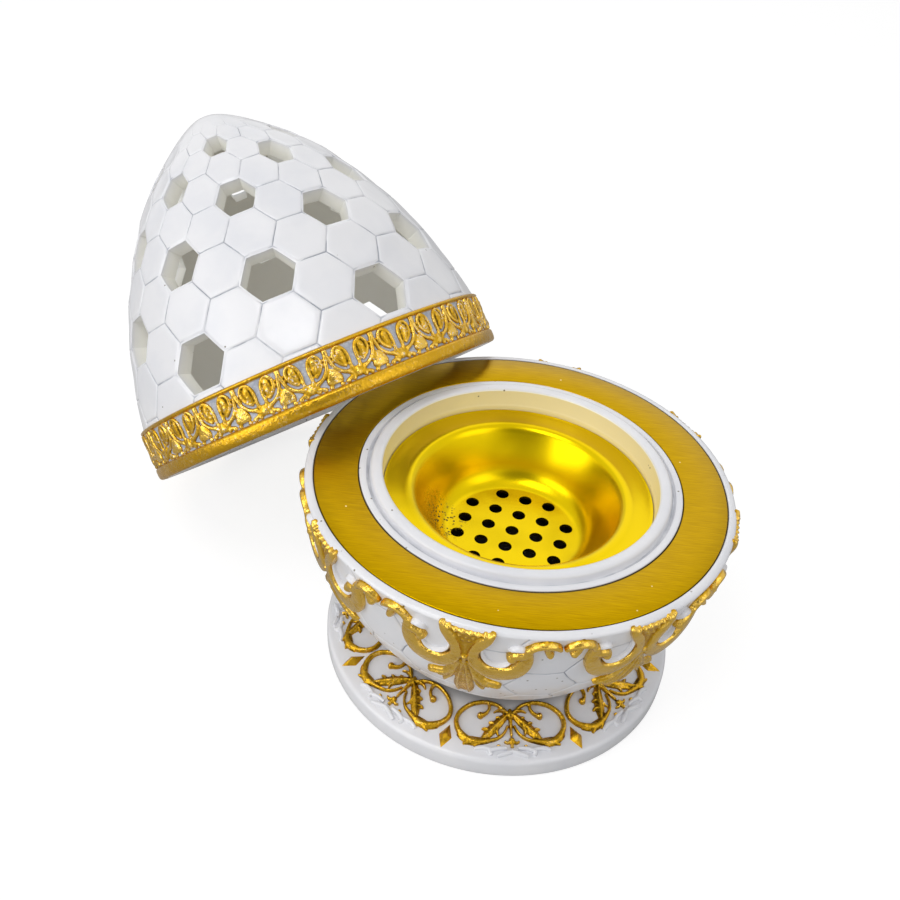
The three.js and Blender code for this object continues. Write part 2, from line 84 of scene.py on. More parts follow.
FOOT_TOP = [(25.0, 10.6), (28.0, 8.9), (33.0, 7.3), (38.0, 6.3), (42.9, 5.5)]
FOOT_EDGE = [
    (43.35, 5.38), (43.72, 5.1), (43.93, 4.75), (44.0, 4.3), (44.0, 2.5), (43.97, 1.0),
    (43.8, 0.55), (43.4, 0.32), (42.9, 0.3), (10.0, 0.3), (0.0, 0.3),
]
FOOT_SPIGOT = [(0.0, 13.3), (9.3, 13.3), (9.7, 12.9), (9.7, 10.6)]
FELT_EDGE = [(0.0, 0.0), (38.6, 0.0), (39.0, 0.3), (39.0, 0.8), (38.7, 1.0), (0.0, 1.0)]
# Spacing of points along the smooth profiles
BOWL_STEP = 0.5
FOOT_STEP = 0.8
DOME_STEP = 0.4

# Zones by radius from and to, and height from and to: painted shade in the plate's gaps, the
# collar's inner wall with a painted reflection of the gold cup, painted shade in the collar's
# groove, and the ash space
PLATE_GAPS = [(37.4, 37.55, 53.5, 54.55), (47.65, 47.8, 53.5, 54.55)]
CUP_REFLECTION_WALL = (0.0, 32.1, 48.8, 55.4)
COLLAR_GROOVE = (34.95, 35.7, 53.0, 54.05)
COLLAR_GROOVE_SHADE = 0.55
ASH_SPACE = (0.0, 29.2, 20.0, 49.0)
# Painted shade where bowl and foot meet: its share, where it starts, over what radius it grows, its
# heights
NECK_SHADE = 0.7
NECK_SHADE_EDGE = 31.5
NECK_SHADE_REACH = 3.2
NECK_SHADE_TOP = 14.0
NECK_SHADE_BOTTOM = 7.0

RING_PLATE = [
    (47.35, 54.6), (47.55, 54.52), (47.6, 54.35), (47.6, 53.85), (37.6, 53.85), (37.6, 54.35),
    (37.66, 54.52), (37.85, 54.6),
]

# Cup of thin sheet, upper skin from its floor outwards, then its lower skin back
CUP_UPPER = [
    (15.3, 36.8), (15.9, 36.88), (16.8, 37.2), (17.8, 37.88), (18.7, 38.75), (19.55, 40.0),
    (20.2, 41.6), (21.3, 43.9), (22.6, 46.3), (23.7, 48.2), (24.2, 48.95), (24.75, 49.5),
    (25.4, 49.82), (26.2, 49.92), (26.9, 49.82), (27.5, 49.72), (28.5, 49.7), (30.6, 49.7),
    (31.3, 49.76), (31.55, 49.84),
]
CUP_LOWER = [
    (31.6, 49.6), (31.5, 49.3), (31.0, 49.12), (28.4, 49.1), (26.3, 49.1), (25.4, 48.98),
    (24.8, 48.5), (24.2, 47.6), (23.1, 45.7), (21.9, 43.4), (20.9, 41.2), (20.2, 39.6),
    (19.3, 38.2), (18.2, 37.1), (16.9, 36.4), (15.9, 36.08), (15.3, 36.0),
]
CUP_HOLE_RADIUS = 1.62
CUP_HOLE_PITCH = 6.0
CUP_HOLE_ROWS = 5
CUP_HOLE_TURN = -15.1
CUP_HOLE_STEPS = 20

# Lid, in its own frame: h is up its axis from its rim
DOME_OUTSIDE = [
    (48.6, 13.6), (47.2, 20.2), (45.6, 26.8), (43.7, 33.4), (41.4, 40.0), (38.5, 46.6),
    (35.0, 53.2), (31.1, 59.7), (26.5, 66.4), (20.4, 73.0), (12.9, 79.5), (8.0, 83.1),
    (3.6, 85.5), (0.0, 86.2),
]
LID_WALL = 4.4
LID_TIP_WALL = 5.6
LID_SKIRT = [(47.6, 13.35), (47.5, 12.8), (47.5, 0.25), (47.3, 0.0), (39.7, 0.0), (39.4, 0.3),
             (39.4, 3.2), (39.7, 3.5), (42.7, 3.5), (43.1, 3.9)]
BAND_FACE = [
    (47.8, 0.5), (48.0, 0.12), (48.45, 0.0), (48.9, 0.05), (49.3, 0.35), (49.5, 0.8), (49.58, 1.6),
    (49.58, 2.6), (49.45, 3.05), (49.1, 3.3), (48.95, 3.6), (48.9, 8.0), (48.9, 12.3),
    (49.0, 12.65), (49.25, 12.8), (49.38, 13.05), (49.3, 13.35), (49.0, 13.58), (48.6, 13.66),
    (48.1, 13.6), (47.8, 13.3),
]
BAND_RECESS_RADIUS = 48.9
BAND_GROUND = (48.82, 48.98, 3.4, 12.5)
LID_CENTRE = (-51.10, 45.16, 33.64)
LID_TILT = 43.29
LID_TURN = 45.0

# Honeycomb: hexagons with two corners on each ring, six rings of cells with every other cell open
COMB_COLUMNS = 24
COMB_SIDE_CUTS = 3
# At a corner of the comb three cells meet, in at least this many edges
CORNER_EDGES = 5
# A closed cell: the share of a line's depth on its steep side, then its rings' sizes and sinking
LINE_STEEP_SHARE = 0.86
CELL_RING_SHARES = [0.8, 0.7, 0.5]
CELL_SINK_SHARES = [0.3, 0.35, 0.25, 0.1]
INNER_RING_SHARE = 0.5
# An open cell: how far its rim sinks, and the depths of its wall's rings
HOLE_RIM_SINK = 0.3
HOLE_RING_DEPTHS = (1.1, 2.8)
HOLE_EDGE_SINK = 0.16
# How quickly the hand's wander changes along the surface, and where in the noise it starts on lid
# and bowl. The noise has a seed, because without one it starts from the clock.
WANDER_PACE = 0.16
WANDER_SEED = 1
LID_WANDER_START = 3.0
BOWL_WANDER_START = 11.0
LID_FIRST_ROW = 8.2
LID_ROW_PITCH = 13.35
LID_ROW_SHARE = 0.935
LID_COLUMN_TURN = -120.0
LID_OPEN_ROWS = 6
LID_ROWS_FROM = -1
LID_ROWS_TO = 8
LID_COMB_BOTTOM = -0.5755
LID_COMB_TOP = 7.0
# Over what share of a row the wander dies out at the comb's edges
LID_CALM = 0.5
# The painted shade lies paler in the lid's lines than in the bowl's
LID_LINE_SHARE = 0.85
# Rows below the comb's top where the lines have run out, and over how many rows they do so
LID_FADE_END = 0.35
LID_FADE_ROWS = 1.4
# Depths under the outer skin where its lines end, and where the bare resin starts
LID_SKIN_DEPTH = 0.6
LID_BARE_DEPTH = 0.5
LID_TIP_ARCS = [86.6, 87.8, 89.0, 90.2]
BOWL_ROWS = range(-1, 4)
BOWL_ROW_PITCH = 15.2
BOWL_FIRST_ROW = 6.8
BOWL_COLUMN_TURN = -81.0
BOWL_COMB_TOP = 0.9
BOWL_COMB_BOTTOM = 46.0
# Over what length the wander dies out at the comb's edges, how many times as far the bowl's lines
# wander as the lid's, and a height between the comb's two edges
BOWL_CALM = 3.0
BOWL_WANDER = 3
BOWL_MIDDLE = 32.0

# Relief, drawn flat: across, down, width and height of each stroke. Strokes have a mirrored twin
# unless they run down the middle.
SCROLL_SPAN = 48.5
SCROLL_TURN = -101.5
SCROLL_BANDS = [
    [(5.5, 0.2, 0.5, 0.5), (4.8, 1.1, 1.6, 1.1), (4.1, 2.2, 2.3, 1.45), (3.0, 4.0, 2.6, 1.6),
     (2.1, 6.0, 2.3, 1.6), (1.75, 8.4, 2.5, 1.6), (2.4, 10.9, 3.2, 1.6), (4.5, 13.0, 4.1, 1.65),
     (7.3, 13.5, 4.7, 1.7), (10.1, 12.5, 4.4, 1.7), (11.7, 10.2, 3.7, 1.65), (12.3, 7.6, 3.0, 1.6),
     (12.3, 5.2, 2.2, 1.55), (12.5, 3.6, 1.6, 1.5)],
]
SCROLL_CORDS = [
    [(12.4, 6.0, 2.2, 1.6), (11.2, 5.9, 2.4, 1.75), (9.9, 6.3, 2.2, 1.75), (9.0, 7.4, 1.5, 1.6)],
    [(12.5, 4.4, 1.6, 1.5), (13.3, 2.9, 1.7, 1.6), (14.8, 2.0, 1.7, 1.6), (16.4, 2.0, 1.7, 1.6),
     (17.8, 2.8, 1.5, 1.5), (18.6, 4.0, 1.0, 1.2)],
    [(15.6, 2.6, 1.1, 1.4), (15.9, 3.9, 1.5, 1.5), (16.5, 5.1, 1.8, 1.6), (16.9, 6.2, 1.0, 1.2)],
]
SCROLL_LEAVES = [
    [(0.8, 11.8, 1.3, 1.0), (1.7, 14.9, 2.0, 1.1), (3.0, 18.2, 2.9, 1.2), (4.7, 20.5, 3.2, 1.25),
     (6.0, 21.4, 2.4, 1.1)],
    [(2.1, 15.6, 1.0, 1.15), (3.8, 18.4, 1.5, 1.4), (5.9, 19.9, 1.9, 1.55), (7.7, 20.6, 1.7, 1.4),
     (8.5, 21.0, 0.9, 1.05)],
    [(2.0, 17.4, 1.0, 1.15), (3.2, 20.3, 1.8, 1.4), (4.3, 22.4, 1.8, 1.4), (4.8, 23.7, 0.9, 1.05)],
    [(0.35, 12.4, 0.8, 1.3), (0.75, 16.5, 1.2, 1.4), (1.2, 21.0, 1.7, 1.45), (1.5, 25.5, 2.1, 1.4),
     (1.3, 28.8, 1.6, 1.1)],
]
SCROLL_MIDDLES = [
    [(0.0, 1.0, 8.8, 0.75), (0.0, 3.2, 5.4, 0.75), (0.0, 6.0, 2.4, 0.8), (0.0, 9.0, 1.6, 0.9)],
    [(0.0, 9.0, 1.5, 1.2), (0.0, 11.0, 1.1, 1.3), (0.0, 14.0, 1.0, 0.9), (0.0, 19.0, 2.4, 0.9),
     (0.0, 25.0, 3.6, 0.9), (0.0, 28.6, 3.0, 0.8)],
]
# Beads: across, down, radius and height
SCROLL_BEADS = [
    (9.4, 7.3, 1.3, 1.95), (16.6, 5.3, 1.0, 1.7), (2.3, 1.2, 0.5, 1.1), (0.8, 1.2, 0.5, 1.1),
    (3.6, 0.9, 0.5, 1.1), (1.4, 2.5, 0.5, 1.15), (0.0, 2.5, 0.45, 1.1), (0.7, 3.9, 0.45, 1.1),
    (0.0, 9.6, 0.8, 1.7),
]
# Ungilded ledges inside the scrolls, where the white casting shows
SCROLL_WHITE = [
    [(3.4, 4.6, 0.3, 0.4), (3.2, 6.6, 0.6, 0.8), (3.7, 9.0, 0.7, 0.95), (5.2, 10.8, 0.8, 1.0),
     (7.2, 11.2, 0.8, 1.0), (8.8, 10.4, 0.7, 0.9), (9.7, 9.2, 0.3, 0.4)],
    [(12.2, 4.8, 0.3, 0.4), (11.4, 4.4, 1.0, 1.1), (10.2, 4.2, 1.3, 1.25), (9.1, 4.6, 1.0, 1.1),
     (8.4, 5.4, 0.3, 0.4)],
]

# Foot palmettes: degrees across, radius on the foot, width and height
PALMETTE_TURN = -83.5
PALMETTE_CORDS = [
    [(1.4, 31.6, 0.8, 0.9), (4.5, 30.3, 0.9, 1.0), (8.5, 29.7, 0.9, 1.0), (13.0, 29.9, 1.0, 1.05),
     (17.3, 31.0, 1.1, 1.1), (20.3, 33.0, 1.2, 1.15), (21.0, 35.1, 1.2, 1.15),
     (19.6, 37.2, 1.3, 1.15), (16.8, 38.8, 1.6, 1.15), (13.8, 39.6, 1.7, 1.1),
     (10.6, 39.4, 1.3, 1.05), (7.6, 38.8, 1.0, 1.0), (4.8, 38.0, 0.8, 0.9),
     (2.6, 36.6, 0.7, 0.9), (1.3, 34.8, 0.6, 0.85)],
    [(9.3, 29.8, 0.9, 1.0), (8.9, 31.0, 0.9, 1.0), (9.9, 32.2, 0.9, 1.1), (11.4, 32.9, 1.0, 1.15)],
    [(0.3, 38.5, 0.6, 0.9), (1.5, 39.1, 0.7, 0.9), (2.6, 38.7, 0.5, 0.8)],
]
PALMETTE_LEAVES = [
    [(0.6, 32.0, 1.0, 1.0), (2.8, 33.0, 1.9, 1.15), (5.2, 34.5, 2.4, 1.25), (7.4, 36.2, 2.4, 1.25),
     (9.2, 37.8, 1.8, 1.15), (10.6, 38.9, 0.8, 0.9)],
    [(3.2, 33.6, 1.0, 1.05), (4.9, 32.9, 0.9, 1.0), (6.0, 32.9, 0.4, 0.7)],
    [(5.6, 35.0, 1.1, 1.05), (7.4, 34.3, 1.0, 1.0), (8.7, 34.4, 0.4, 0.7)],
    [(7.8, 36.6, 1.1, 1.05), (9.6, 36.0, 1.0, 1.0), (11.0, 36.3, 0.4, 0.7)],
    [(5.0, 35.0, 0.9, 1.0), (5.2, 36.5, 0.7, 0.9), (4.7, 37.4, 0.35, 0.6)],
    [(0.8, 31.8, 0.8, 1.0), (3.0, 31.3, 0.9, 1.0), (5.2, 31.3, 0.8, 0.95), (7.0, 31.9, 0.4, 0.7)],
    [(8.6, 39.0, 1.0, 1.0), (11.2, 39.3, 2.0, 1.1), (14.2, 39.5, 2.3, 1.1), (17.0, 39.3, 1.3, 0.95),
     (19.0, 38.7, 0.5, 0.7)],
    [(11.0, 39.9, 0.9, 0.9), (12.5, 40.8, 0.5, 0.7)],
    [(14.4, 40.1, 1.0, 0.9), (16.4, 40.7, 0.5, 0.7)],
]
PALMETTE_MIDDLES = [
    [(0.0, 30.9, 0.9, 1.0), (0.0, 32.6, 1.2, 1.15), (0.0, 35.0, 0.8, 1.0), (0.0, 37.4, 0.6, 0.9)],
    [(0.0, 38.4, 0.6, 0.9), (0.0, 40.2, 0.8, 0.9)],
]
PALMETTE_BEADS = [(12.2, 33.0, 0.9, 1.35), (0.0, 38.3, 0.7, 1.1), (4.6, 39.9, 0.45, 0.9)]
# Width of a degree where the palmettes lie, in millimetres
DEGREE_SPAN = math.radians(1) * 36
# Ungilded lace beyond each palmette, in millimetres across, part of the foot's casting
LACE_STROKES = [
    [(0.0, 41.0, 1.1, 0.8), (1.7, 41.7, 1.1, 0.85), (3.1, 42.4, 0.8, 0.6)],
    [(1.2, 40.3, 0.9, 0.8), (3.2, 40.5, 1.1, 0.85), (4.6, 41.3, 1.1, 0.8), (4.2, 42.2, 0.8, 0.6)],
    [(4.4, 40.8, 0.9, 0.8), (6.4, 40.7, 1.1, 0.8), (7.9, 41.4, 0.8, 0.6)],
]
STUD_TURN = -106.0
STUD_PLACE = 40.05
STUD_LENGTH = 6.1
STUD_WIDTH = 3.1
STUD_HEIGHT = 1.55
STUD_BEVEL = 0.16
MOTIFS = 8

# Fans of the lid's band: across, up the band, width and height
BAND_FANS = 26
BAND_TURN = -121.4
FAN_STROKES = [
    [(0.3, 4.5, 0.9, 0.9), (1.9, 5.7, 1.0, 1.0), (3.7, 6.7, 1.0, 1.0), (5.0, 8.2, 1.0, 1.0),
     (5.5, 10.0, 1.0, 1.0), (5.9, 11.8, 1.1, 1.0)],
    [(0.5, 5.2, 0.9, 0.9), (1.1, 7.0, 0.9, 0.9), (0.95, 8.8, 0.8, 0.9), (1.15, 10.6, 0.8, 0.9),
     (2.0, 12.0, 0.8, 0.9), (3.2, 12.3, 0.8, 0.9), (4.2, 11.3, 0.8, 0.9), (4.2, 9.7, 0.8, 0.9),
     (3.4, 8.3, 0.8, 0.9), (2.0, 7.3, 0.8, 0.9)],
    [(2.2, 7.8, 1.2, 0.7), (2.6, 9.4, 3.0, 0.8), (2.7, 11.4, 2.4, 0.75)],
    [(2.3, 8.4, 1.0, 0.9), (2.7, 9.7, 2.0, 1.1), (2.7, 10.9, 1.9, 1.1), (2.5, 11.7, 0.9, 0.9)],
    [(0.6, 4.5, 0.8, 0.8), (2.0, 4.5, 0.9, 0.9), (3.4, 4.0, 0.9, 0.8)],
]
FAN_MIDDLES = [
    [(0.0, 4.0, 1.3, 0.9), (0.0, 5.4, 1.4, 1.1), (0.0, 6.6, 0.7, 0.8)],
]
FAN_LEAVES = [
    [(6.0, 4.3, 3.6, 1.0), (6.0, 5.4, 4.2, 1.2), (6.0, 6.8, 3.2, 1.15), (6.0, 8.0, 1.5, 0.9)],
    [(6.0, 11.2, 1.3, 1.2), (6.0, 12.6, 1.5, 1.0)],
]
FAN_BEADS = [
    (0.0, 5.0, 1.0, 1.3), (1.5, 4.0, 0.6, 1.0), (3.0, 3.9, 0.65, 1.0), (4.6, 3.8, 0.6, 0.95),
    (2.1, 6.0, 0.6, 1.1), (4.6, 5.2, 0.8, 1.2), (2.4, 10.9, 0.5, 1.3), (3.1, 10.4, 0.45, 1.25),
    (2.6, 9.4, 0.5, 1.25),
]

# Sections of a stroke as shares of its half width and its height
CORD_SECTION = [(-1.0, 0.0), (-0.9, 0.5), (-0.6, 0.86), (0.0, 1.0), (0.6, 0.86), (0.9, 0.5),
                (1.0, 0.0)]
BAND_SECTION = [(-1.0, 0.0), (-0.96, 0.62), (-0.84, 0.9), (-0.5, 0.98), (0.0, 1.0), (0.45, 0.95),
                (0.8, 0.85), (0.95, 0.58), (1.0, 0.0)]
LEAF_SECTION = [(-1.0, 0.0), (-0.9, 0.42), (-0.45, 0.62), (-0.12, 0.94), (0.12, 0.94), (0.45, 0.62),
                (0.9, 0.42), (1.0, 0.0)]
# How deep a stroke is sunk and how wide it is there, and its least width and height
SINK = -0.5
SINK_WIDTH = 0.9
LEAST_WIDTH = 0.3
LEAST_HEIGHT = 0.2
# Steps along the strokes of the bowl's scrolls, of their ledges and of the finer ornament
SCROLL_STEP = 0.7
LEDGE_STEP = 0.6
FINE_STEP = 0.5
KEPT_SHARE = 0.36
# How a point's standing out of its surroundings becomes its tone: passes, and millimetres to full
CREST_ROUNDS = 9
CREST_REACH = 0.24
PLAIN_TONE = 0.6
GROUND_TONE = 0.2
# Share of a fan's drawn height that stands out of the band
FAN_RELIEF = 0.62

# Camera and lamps, found from the photograph's perspective
CAMERA_PLACE = (-16.97, -186.96, 206.17)
CAMERA_RIGHT = (0.99436, 0.06550, 0.08343)
CAMERA_UP = (-0.10607, 0.61408, 0.78208)
CAMERA_BACK = (0.0, -0.78652, 0.61756)
CAMERA_LENS = 41.63
CAMERA_SENSOR = 36.0
LAMPS = [
    ("Softbox_left", (-640.0, -420.0, 340.0), 600.0, 2.2),
    ("Softbox_top", (-210.0, -240.0, 720.0), 300.0, 1.25),
    ("Softbox_right", (560.0, -360.0, 640.0), 500.0, 0.85),
    ("Softbox_back", (60.0, 700.0, 700.0), 800.0, 0.85),
]
LAMP_TARGET = (-20.0, 20.0, 40.0)
FLOOR_RADIUS = 2500.0
FLOOR_GLOW = 0.8
WHITE = "#FFFFFF"
# Strength of the white surround as light, and where it is seen or mirrored
SURROUND_LIGHT = 0.47
SURROUND_SEEN = 1.0
# Where the studio is dark behind the photographer, as polished metal mirrors it
DARK_SIDE = (-0.06, -0.74, 0.67)
DARK_EDGE = 0.86
DARK_CORE = 0.96
DARK_STRENGTH = -0.7

# Sockets of a Mix node: its mask, and the colours under and over it
MASK, UNDER, OVER = 0, 6, 7
# How much of the fine grit goes into the gilding's tone
GRIT_SHARE = 0.5
CUP_SOOT_PLACE = (-18.0, 0.2, 38.2)


def linear(code):
    """Linear colour with alpha of an sRGB hex code."""
    shares = [int(code[i:i + 2], 16) / 255 for i in (1, 3, 5)]
    return (*(c / 12.92 if c <= 0.04045 else ((c + 0.055) / 1.055) ** 2.4 for c in shares), 1.0)


def distance(name, description, millimetres):
    """A length that a user may change, shown in scene units."""
    return bpy.props.FloatProperty(name=name, description=description, default=millimetres * MM,
                                   min=0.0, unit="LENGTH", subtype="DISTANCE", precision=5)


def colour(name, description, code):
    """A colour that a user may change."""
    return bpy.props.FloatVectorProperty(name=name, description=description, subtype="COLOR",
                                         size=4, min=0.0, max=1.0, default=linear(code))


class MabkharaSizes(bpy.types.PropertyGroup):
    """Sizes of the detail that the looks add to the castings."""

    lid_groove_depth: distance("Lid groove depth", "Depth of the lines of the lid", 0.3)
    lid_groove_width: distance("Lid groove width", "Half the width of a line of the lid", 0.3)
    bowl_groove_depth: distance("Bowl groove depth", "Depth of the lines round the bowl", 0.3)
    bowl_groove_width: distance("Bowl groove width", "Half the width of a line of the bowl", 0.3)
    cell_flatness: distance("Cell flatness", "How far a cell's middle lies under the round", 0.3)
    hole_margin: distance("Hole margin", "Gap from a cell's outline to its hole", 0.45)
    scroll_grain: distance("Scroll grain", "Size of the cells that fuse the bowl's scrolls", 0.21)
    palmette_grain: distance("Palmette grain", "Size of the cells that fuse the palmettes", 0.17)
    fan_grain: distance("Fan grain", "Size of the cells that fuse the band's fans", 0.22)
    hand_wander: distance("Hand wander", "How far the comb's lines wander from true", 0.22)


class MabkharaColours(bpy.types.PropertyGroup):
    """Colours of the finishes."""

    resin: colour("Resin", "Pearl white lacquer on the castings", "#EBEBEE")
    # Raw resin: the bare resin's cream, set near white so that it paints light into the lid's
    # shaded inside
    raw_resin_brightened: colour("Raw resin", "Cream resin where no lacquer reaches", "#FDFCF4")
    resin_shade: colour("Resin shade", "Greyer patches of the lacquer", "#E2E3E8")
    # Heated resin: a painted reflection of the gold cup on the collar's inner wall
    cup_reflection: colour("Heated resin", "Resin yellowed by heat inside the collar", "#F3E6B6")
    pit: colour("Pit", "Dust in the casting pits", "#6E675A")
    # Groove: painted shade in grey, in the lines of the comb and in the collar's groove
    groove: colour("Groove", "Grey wash left in the lines", "#858C9A")
    gilding: colour("Gilding", "Gold paint in its mid tone", "#C3961F")
    # Gilding light and deep: lighter on ridges, browner in recesses, partly the paint's antiquing
    # and partly painted highlight and shade
    gilding_light: colour("Gilding light", "Gold paint where it is rubbed bright", "#DDB550")
    gilding_deep: colour("Gilding deep", "Gold paint in the recesses", "#58400A")
    # Relief wash: painted shade in grey on the relief's bare casting, in its recesses
    relief_shade: colour("Relief wash", "Grey wash on the relief's bare casting", "#A3AAB8")
    plate: colour("Ring plate", "Anodised gold of the ring plate", "#BA9400")
    plate_line: colour("Plate line", "Brushed lines of the ring plate", "#A27E00")
    plate_dust: colour("Plate dust", "Specks of dust on the ring plate", "#F2E2A8")
    cup: colour("Cup", "Anodised gold of the spun cup", "#D9BB08")
    cup_stain: colour("Cup stain", "Cloudy stains in the cup", "#C6AA04")
    # Soot: real specks in the cup; painted shade in the plate's gaps and where bowl meets foot; in
    # the ash space both soot and painted shade
    soot_and_shade: colour("Soot", "Charcoal soot in the cup and under it", "#2E2410")
    ash: colour("Ash", "Grey clouds on the soot of the ash space", "#4A453E")
    ash_dust: colour("Ash dust", "Dust of ash on the soot", "#6B665E")
    felt: colour("Felt", "Wool felt under the foot", "#2E2C2B")
    felt_nap: colour("Felt nap", "Paler nap of the felt", "#4B4745")
    floor: colour("Floor", "Pale studio floor", "#CECECE")
    floor_shaded: colour("Floor shaded", "What the camera sees of light on the floor", "#959595")


def sizes():
    """The sizes in millimetres, by name."""
    group = bpy.context.scene.mabkhara_sizes
    return {name: getattr(group, name) / MM for name in MabkharaSizes.__annotations__}


def held(value):
    """A value kept between 0 and 1."""
    return min(max(value, 0.0), 1.0)


def radius_of(spot):
    """Distance from the Z axis."""
    return math.hypot(spot.x, spot.y)


def in_zone(spot, zone):
    """Whether a place lies between a zone's radii and between its heights."""
    inner, outer, low, high = zone
    return inner < radius_of(spot) < outer and low < spot.z < high


# Curves

def catmull(a, b, c, d, t):
    """A point between b and c on the smooth curve through four points."""
    return 0.5 * (2 * b + (c - a) * t + (2 * a - 5 * b + 4 * c - d) * t ** 2
                  + (3 * b - a - 3 * c + d) * t ** 3)


def smooth_path(points, step):
    """Points about a step apart on the smooth curve through the given ones."""
    ends = [points[0]] + list(points) + [points[-1]]
    path = []
    for a, b, c, d in zip(ends, ends[1:], ends[2:], ends[3:]):
        parts = max(1, round(math.dist(b[:2], c[:2]) / step))
        for i in range(parts):
            path.append(tuple(catmull(*values, i / parts) for values in zip(a, b, c, d)))
    return path + [tuple(points[-1])]


def arc_lengths(profile):
    """Arc length from the start of a profile to each of its points."""
    lengths = [0.0]
    for a, b in zip(profile, profile[1:]):
        lengths.append(lengths[-1] + math.dist(a, b))
    return lengths


def skin_point(profile, lengths, side, turn, arc, lift):
    """The place on a turned surface at a turn, an arc length and a lift off the surface."""
    i = min(max(bisect.bisect_right(lengths, arc) - 1, 0), len(profile) - 2)
    start, end = Vector(profile[i]), Vector(profile[i + 1])
    along = (end - start).normalized()
    flat = start + along * (arc - lengths[i])
    radius = flat.x + side * along.y * lift
    height = flat.y - side * along.x * lift
    return Vector((radius * math.cos(turn), radius * math.sin(turn), height))


# Meshes

def spun(bm, profile):
    """Spins a row of points about the Z axis."""
    verts = [bm.verts.new((radius, 0, height)) for radius, height in profile]
    edges = [bm.edges.new(pair) for pair in zip(verts, verts[1:])]
    bmesh.ops.spin(bm, geom=verts + edges, cent=(0, 0, 0), axis=(0, 0, 1), angle=2 * math.pi,
                   steps=ROUND_STEPS, use_merge=True)


def close_up(bm):
    """Welds what touches and turns the faces outwards."""
    bmesh.ops.remove_doubles(bm, verts=bm.verts[:], dist=WELD)
    bmesh.ops.recalc_face_normals(bm, faces=bm.faces[:])


def follow(bm, edges, profile):
    """Extrudes an open loop round the Z axis along a row of radii and heights."""
    line = bm.verts.layers.float["groove"]
    for radius, height in profile:
        made = bmesh.ops.extrude_edge_only(bm, edges=edges)["geom"]
        for v in (e for e in made if isinstance(e, bmesh.types.BMVert)):
            scale = radius / radius_of(v.co)
            v.co = (v.co.x * scale, v.co.y * scale, height)
            v[line] = 0.0
        edges = [e for e in made if isinstance(e, bmesh.types.BMEdge) and e.is_boundary]
    return edges


def cap(bm, edges, height):
    """Closes a loop round the Z axis with a fan whose middle is at a height."""
    face = bmesh.ops.contextual_create(bm, geom=edges)["faces"]
    middle = bmesh.ops.poke(bm, faces=face)["verts"][0]
    middle.co = (0, 0, height)


def lid_matrix():
    """From the lid's own frame to where the lid leans, in millimetres."""
    return (Matrix.Translation(LID_CENTRE) @ Matrix.Rotation(math.radians(LID_TURN), 4, "Z")
            @ Matrix.Rotation(math.radians(-LID_TILT), 4, "X"))


def finished(bm, name, body, nodes, materials, place=Matrix.Identity(4)):
    """Makes the mesh a piece of the object, in metres, standing for its CAD nodes."""
    bmesh.ops.transform(bm, matrix=Matrix.Scale(MM, 4) @ place, verts=bm.verts[:])
    for edge in bm.edges:
        edge.smooth = not (len(edge.link_faces) == 2 and edge.calc_face_angle(0) > SHARP_ANGLE)
    for face in bm.faces:
        face.smooth = True
    mesh = bpy.data.meshes.new(name)
    bm.to_mesh(mesh)
    bm.free()
    piece = bpy.data.objects.new(name, mesh)
    bpy.context.scene.collection.objects.link(piece)
    for material in materials:
        mesh.materials.append(material)
    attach(piece, body)
    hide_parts(*nodes)
    return piece


# Honeycomb

def marked(*names):
    """An empty mesh with layers for the marks of its points."""
    bm = bmesh.new()
    for name in names:
        bm.verts.layers.float.new(name)
    return bm


def new_sheet():
    """An empty mesh with the casting's marks: lines, bare inside, painted shade and open cells."""
    bm = marked("groove", "inside", "painted_shade")
    bm.faces.layers.int.new("open")
    return bm


def as_mesh(bm, name):
    """Keeps a bmesh as a mesh to copy from."""
    mesh = bpy.data.meshes.new(name)
    bm.to_mesh(mesh)
    bm.free()
    return mesh


def hexagon(width, pitch, sink):
    """A flat hexagon under the round, with its sides cut so that it can bend."""
    bm = new_sheet()
    bmesh.ops.create_circle(bm, cap_ends=False, segments=6, radius=1.0,
                            matrix=Matrix.Rotation(math.pi / 2, 4, "Z"))
    bmesh.ops.scale(bm, vec=(width * 2 / 3, pitch / math.sqrt(3), 1), verts=bm.verts[:])
    bmesh.ops.subdivide_edges(bm, edges=bm.edges[:], cuts=COMB_SIDE_CUTS)
    face = bmesh.ops.contextual_create(bm, geom=bm.edges[:])["faces"]
    bmesh.ops.translate(bm, vec=(0, 0, -sink), verts=bm.verts[:])
    return bm, face


def inset(bm, face, thickness, depth=0):
    """Insets a face and lifts it."""
    bmesh.ops.inset_individual(bm, faces=face, thickness=thickness, depth=depth,
                               use_even_offset=True)


def ring_in(bm, face, share, depth):
    """Adds a smaller copy of the face's outline inside it, and lifts it."""
    face = bmesh.ops.extrude_discrete_faces(bm, faces=face)["faces"]
    bmesh.ops.scale(bm, vec=(share, share, 1), verts=face[0].verts[:])
    bmesh.ops.translate(bm, vec=(0, 0, depth), verts=face[0].verts[:])
    return face


def closed_cell(width, pitch, groove_width, groove_depth, flatness):
    """A tile with a line round it, a rounded shoulder and a middle a little under the round."""
    bm, face = hexagon(width, pitch, groove_depth)
    outline = bm.verts[:]
    for share in (LINE_STEEP_SHARE, 1 - LINE_STEEP_SHARE):
        inset(bm, face, groove_width, groove_depth * share)
    for share, sink in zip(CELL_RING_SHARES, CELL_SINK_SHARES):
        face = ring_in(bm, face, share, -sink * flatness)
    middle = bmesh.ops.poke(bm, faces=face)["verts"]
    bmesh.ops.translate(bm, vec=(0, 0, -CELL_SINK_SHARES[-1] * flatness), verts=middle)
    # The outline's points carry the grey of the line, painted shade
    line = bm.verts.layers.float["groove"]
    for v in outline:
        v[line] = 1.0
    return as_mesh(bm, "closed_cell")


